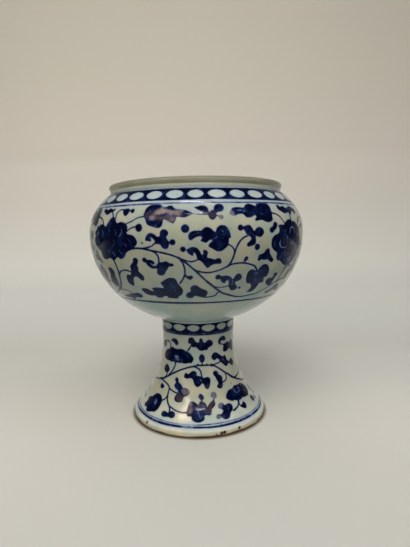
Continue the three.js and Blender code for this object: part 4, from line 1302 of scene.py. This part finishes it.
aim = Vector((0, 0, 0.08))
lamps = {                      # azimuth, elevation, distance and size in metres, watts, colour
    "ceiling": (-20, 80, 1.5, (1.8, 1.8), 10.0, (1.0, 0.985, 0.95)),
    "key": (-14, 50, 1.5, (1.0, 0.7), 13.0, (1.0, 0.985, 0.955)),
    "fill": (-6, 30, 1.6, (1.4, 0.5), 5.0, (1.0, 0.985, 0.955)),
    "coolSide": (62, 48, 1.6, (1.0, 1.0), 4.5, (0.86, 0.93, 1.0)),
}
for name, (azimuth, elevation, distance, size, power, tone) in lamps.items():
    data = bpy.data.lights.new(name, "AREA")
    data.shape = "RECTANGLE"
    data.size, data.size_y = size
    data.energy = power
    data.color = tone
    lamp = bpy.data.objects.new(name, data)
    bpy.context.scene.collection.objects.link(lamp)
    lamp.location = aim + toward(azimuth, elevation) * distance
    lamp.rotation_euler = toward(azimuth, elevation).to_track_quat("Z", "Y").to_euler()
    lamp.visible_glossy = False

# The window and tubes that the glaze mirrors, the brighter ones just in front. Each fades to its edges.

softBoxes = {                  # azimuth, elevation, roll, distance, half width and height, fade, glow, colour
    "window": (-37, 39, 0, 1.5, (0.62, 0.42), 0.7, 2.2, "#ffd9bc"),
    "windowCore": (-44, 45, 0, 1.45, (0.2, 0.27), 0.7, 4.5, "#ffe6c4"),
    "curtain": (18, 38, 0, 1.5, (0.85, 0.33), 0.7, 0.9, "#ffcf9a"),
    "tube": (2, 42.6, 0, 1.45, (0.29, 0.014), 0.35, 22.0, "#ffffff"),
    "topTube": (4, 69.0, -15, 1.5, (0.5, 0.035), 0.35, 17.0, "#eef4ff"),
}
for name, (azimuth, elevation, roll, distance, (wide, high), reach, glow, tone) in softBoxes.items():
    bpy.ops.object.select_all(action="DESELECT")
    bpy.ops.mesh.primitive_plane_add(size=2)
    box = bpy.context.object
    box.name = name
    box.location = aim + toward(azimuth, elevation) * distance
    turn = toward(azimuth, elevation).to_track_quat("Z", "Y").to_matrix()
    box.rotation_euler = (turn @ Matrix.Rotation(math.radians(roll), 3, "Z")).to_euler()
    box.scale = (wide, high, 1)
    box.visible_camera = box.visible_diffuse = False
    glowing = bpy.data.materials.new(name)
    glowing.use_nodes = True
    tree = glowing.node_tree
    tree.nodes.clear()
    place = addNode(tree, "ShaderNodeTexCoord").outputs["Object"]
    fade = addNode(tree, "ShaderNodeTexGradient", {"gradient_type": "SPHERICAL"},
                   {"Vector": place}).outputs["Fac"]
    fade = addNode(tree, "ShaderNodeMapRange", {"interpolation_type": "SMOOTHSTEP", "From Max": reach,
                                                "To Max": glow}, {"Value": fade}).outputs[0]
    lit = addNode(tree, "ShaderNodeEmission", {"Color": linear(tone)}, {"Strength": fade})
    addNode(tree, "ShaderNodeOutputMaterial", None, {"Surface": lit.outputs[0]})
    box.data.materials.append(glowing)
    box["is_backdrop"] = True

# The glaze also mirrors the table in front of it, which lies in the photographer's shade

shade = {                      # metres
    "from": 0.12,              # it darkens from here to there, away from the axis
    "dark": 0.24,
    "to": 2.2,
    "near": "#7f8b92",
    "far": "#10141a",
    "above": 0.0005,           # over the paper
    "sides": 64,
}
bpy.ops.object.select_all(action="DESELECT")
bpy.ops.mesh.primitive_circle_add(vertices=shade["sides"], radius=shade["to"], fill_type="NGON",
                                  location=(0, 0, shade["above"]))
shaded = bpy.context.object
shaded.name = "shaded_table"
shaded.visible_camera = shaded.visible_diffuse = shaded.visible_shadow = False
dim = bpy.data.materials.new("table in shade")
dim.use_nodes = True
tree = dim.node_tree
tree.nodes.clear()
place = addNode(tree, "ShaderNodeTexCoord").outputs["Object"]
away = addNode(tree, "ShaderNodeVectorMath", {"operation": "LENGTH"}, {0: place}).outputs["Value"]
fade = addNode(tree, "ShaderNodeMapRange", {"interpolation_type": "SMOOTHSTEP", "From Min": shade["from"],
                                            "From Max": shade["dark"]}, {"Value": away}).outputs[0]
tint = addNode(tree, "ShaderNodeMix", {"data_type": "RGBA", 6: linear(shade["near"]),
                                       7: linear(shade["far"])}, {0: fade}).outputs[2]
lit = addNode(tree, "ShaderNodeEmission", None, {"Color": roundAbout(tree, place, "tableTurns", tint)})
addNode(tree, "ShaderNodeOutputMaterial", None, {"Surface": lit.outputs[0]})
shaded.data.materials.append(dim)
shaded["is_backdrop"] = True

# A camera that looks past the paper sees its tone go on

world = bpy.data.worlds.new("room")
bpy.context.scene.world = world
world.use_nodes = True
tree = world.node_tree
tree.nodes.clear()
seen = addNode(tree, "ShaderNodeLightPath").outputs["Is Camera Ray"]
ahead = addNode(tree, "ShaderNodeTexCoord").outputs["Generated"]
around = addNode(tree, "ShaderNodeBackground", None, {"Color": roundAbout(tree, ahead)})
pale = addNode(tree, "ShaderNodeBackground", {"Color": linear(room["wall"])})
both = addNode(tree, "ShaderNodeMixShader", None, {0: seen, 1: around.outputs[0], 2: pale.outputs[0]})
addNode(tree, "ShaderNodeOutputWorld", None, {"Surface": both.outputs[0]})

low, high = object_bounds()
print("done")
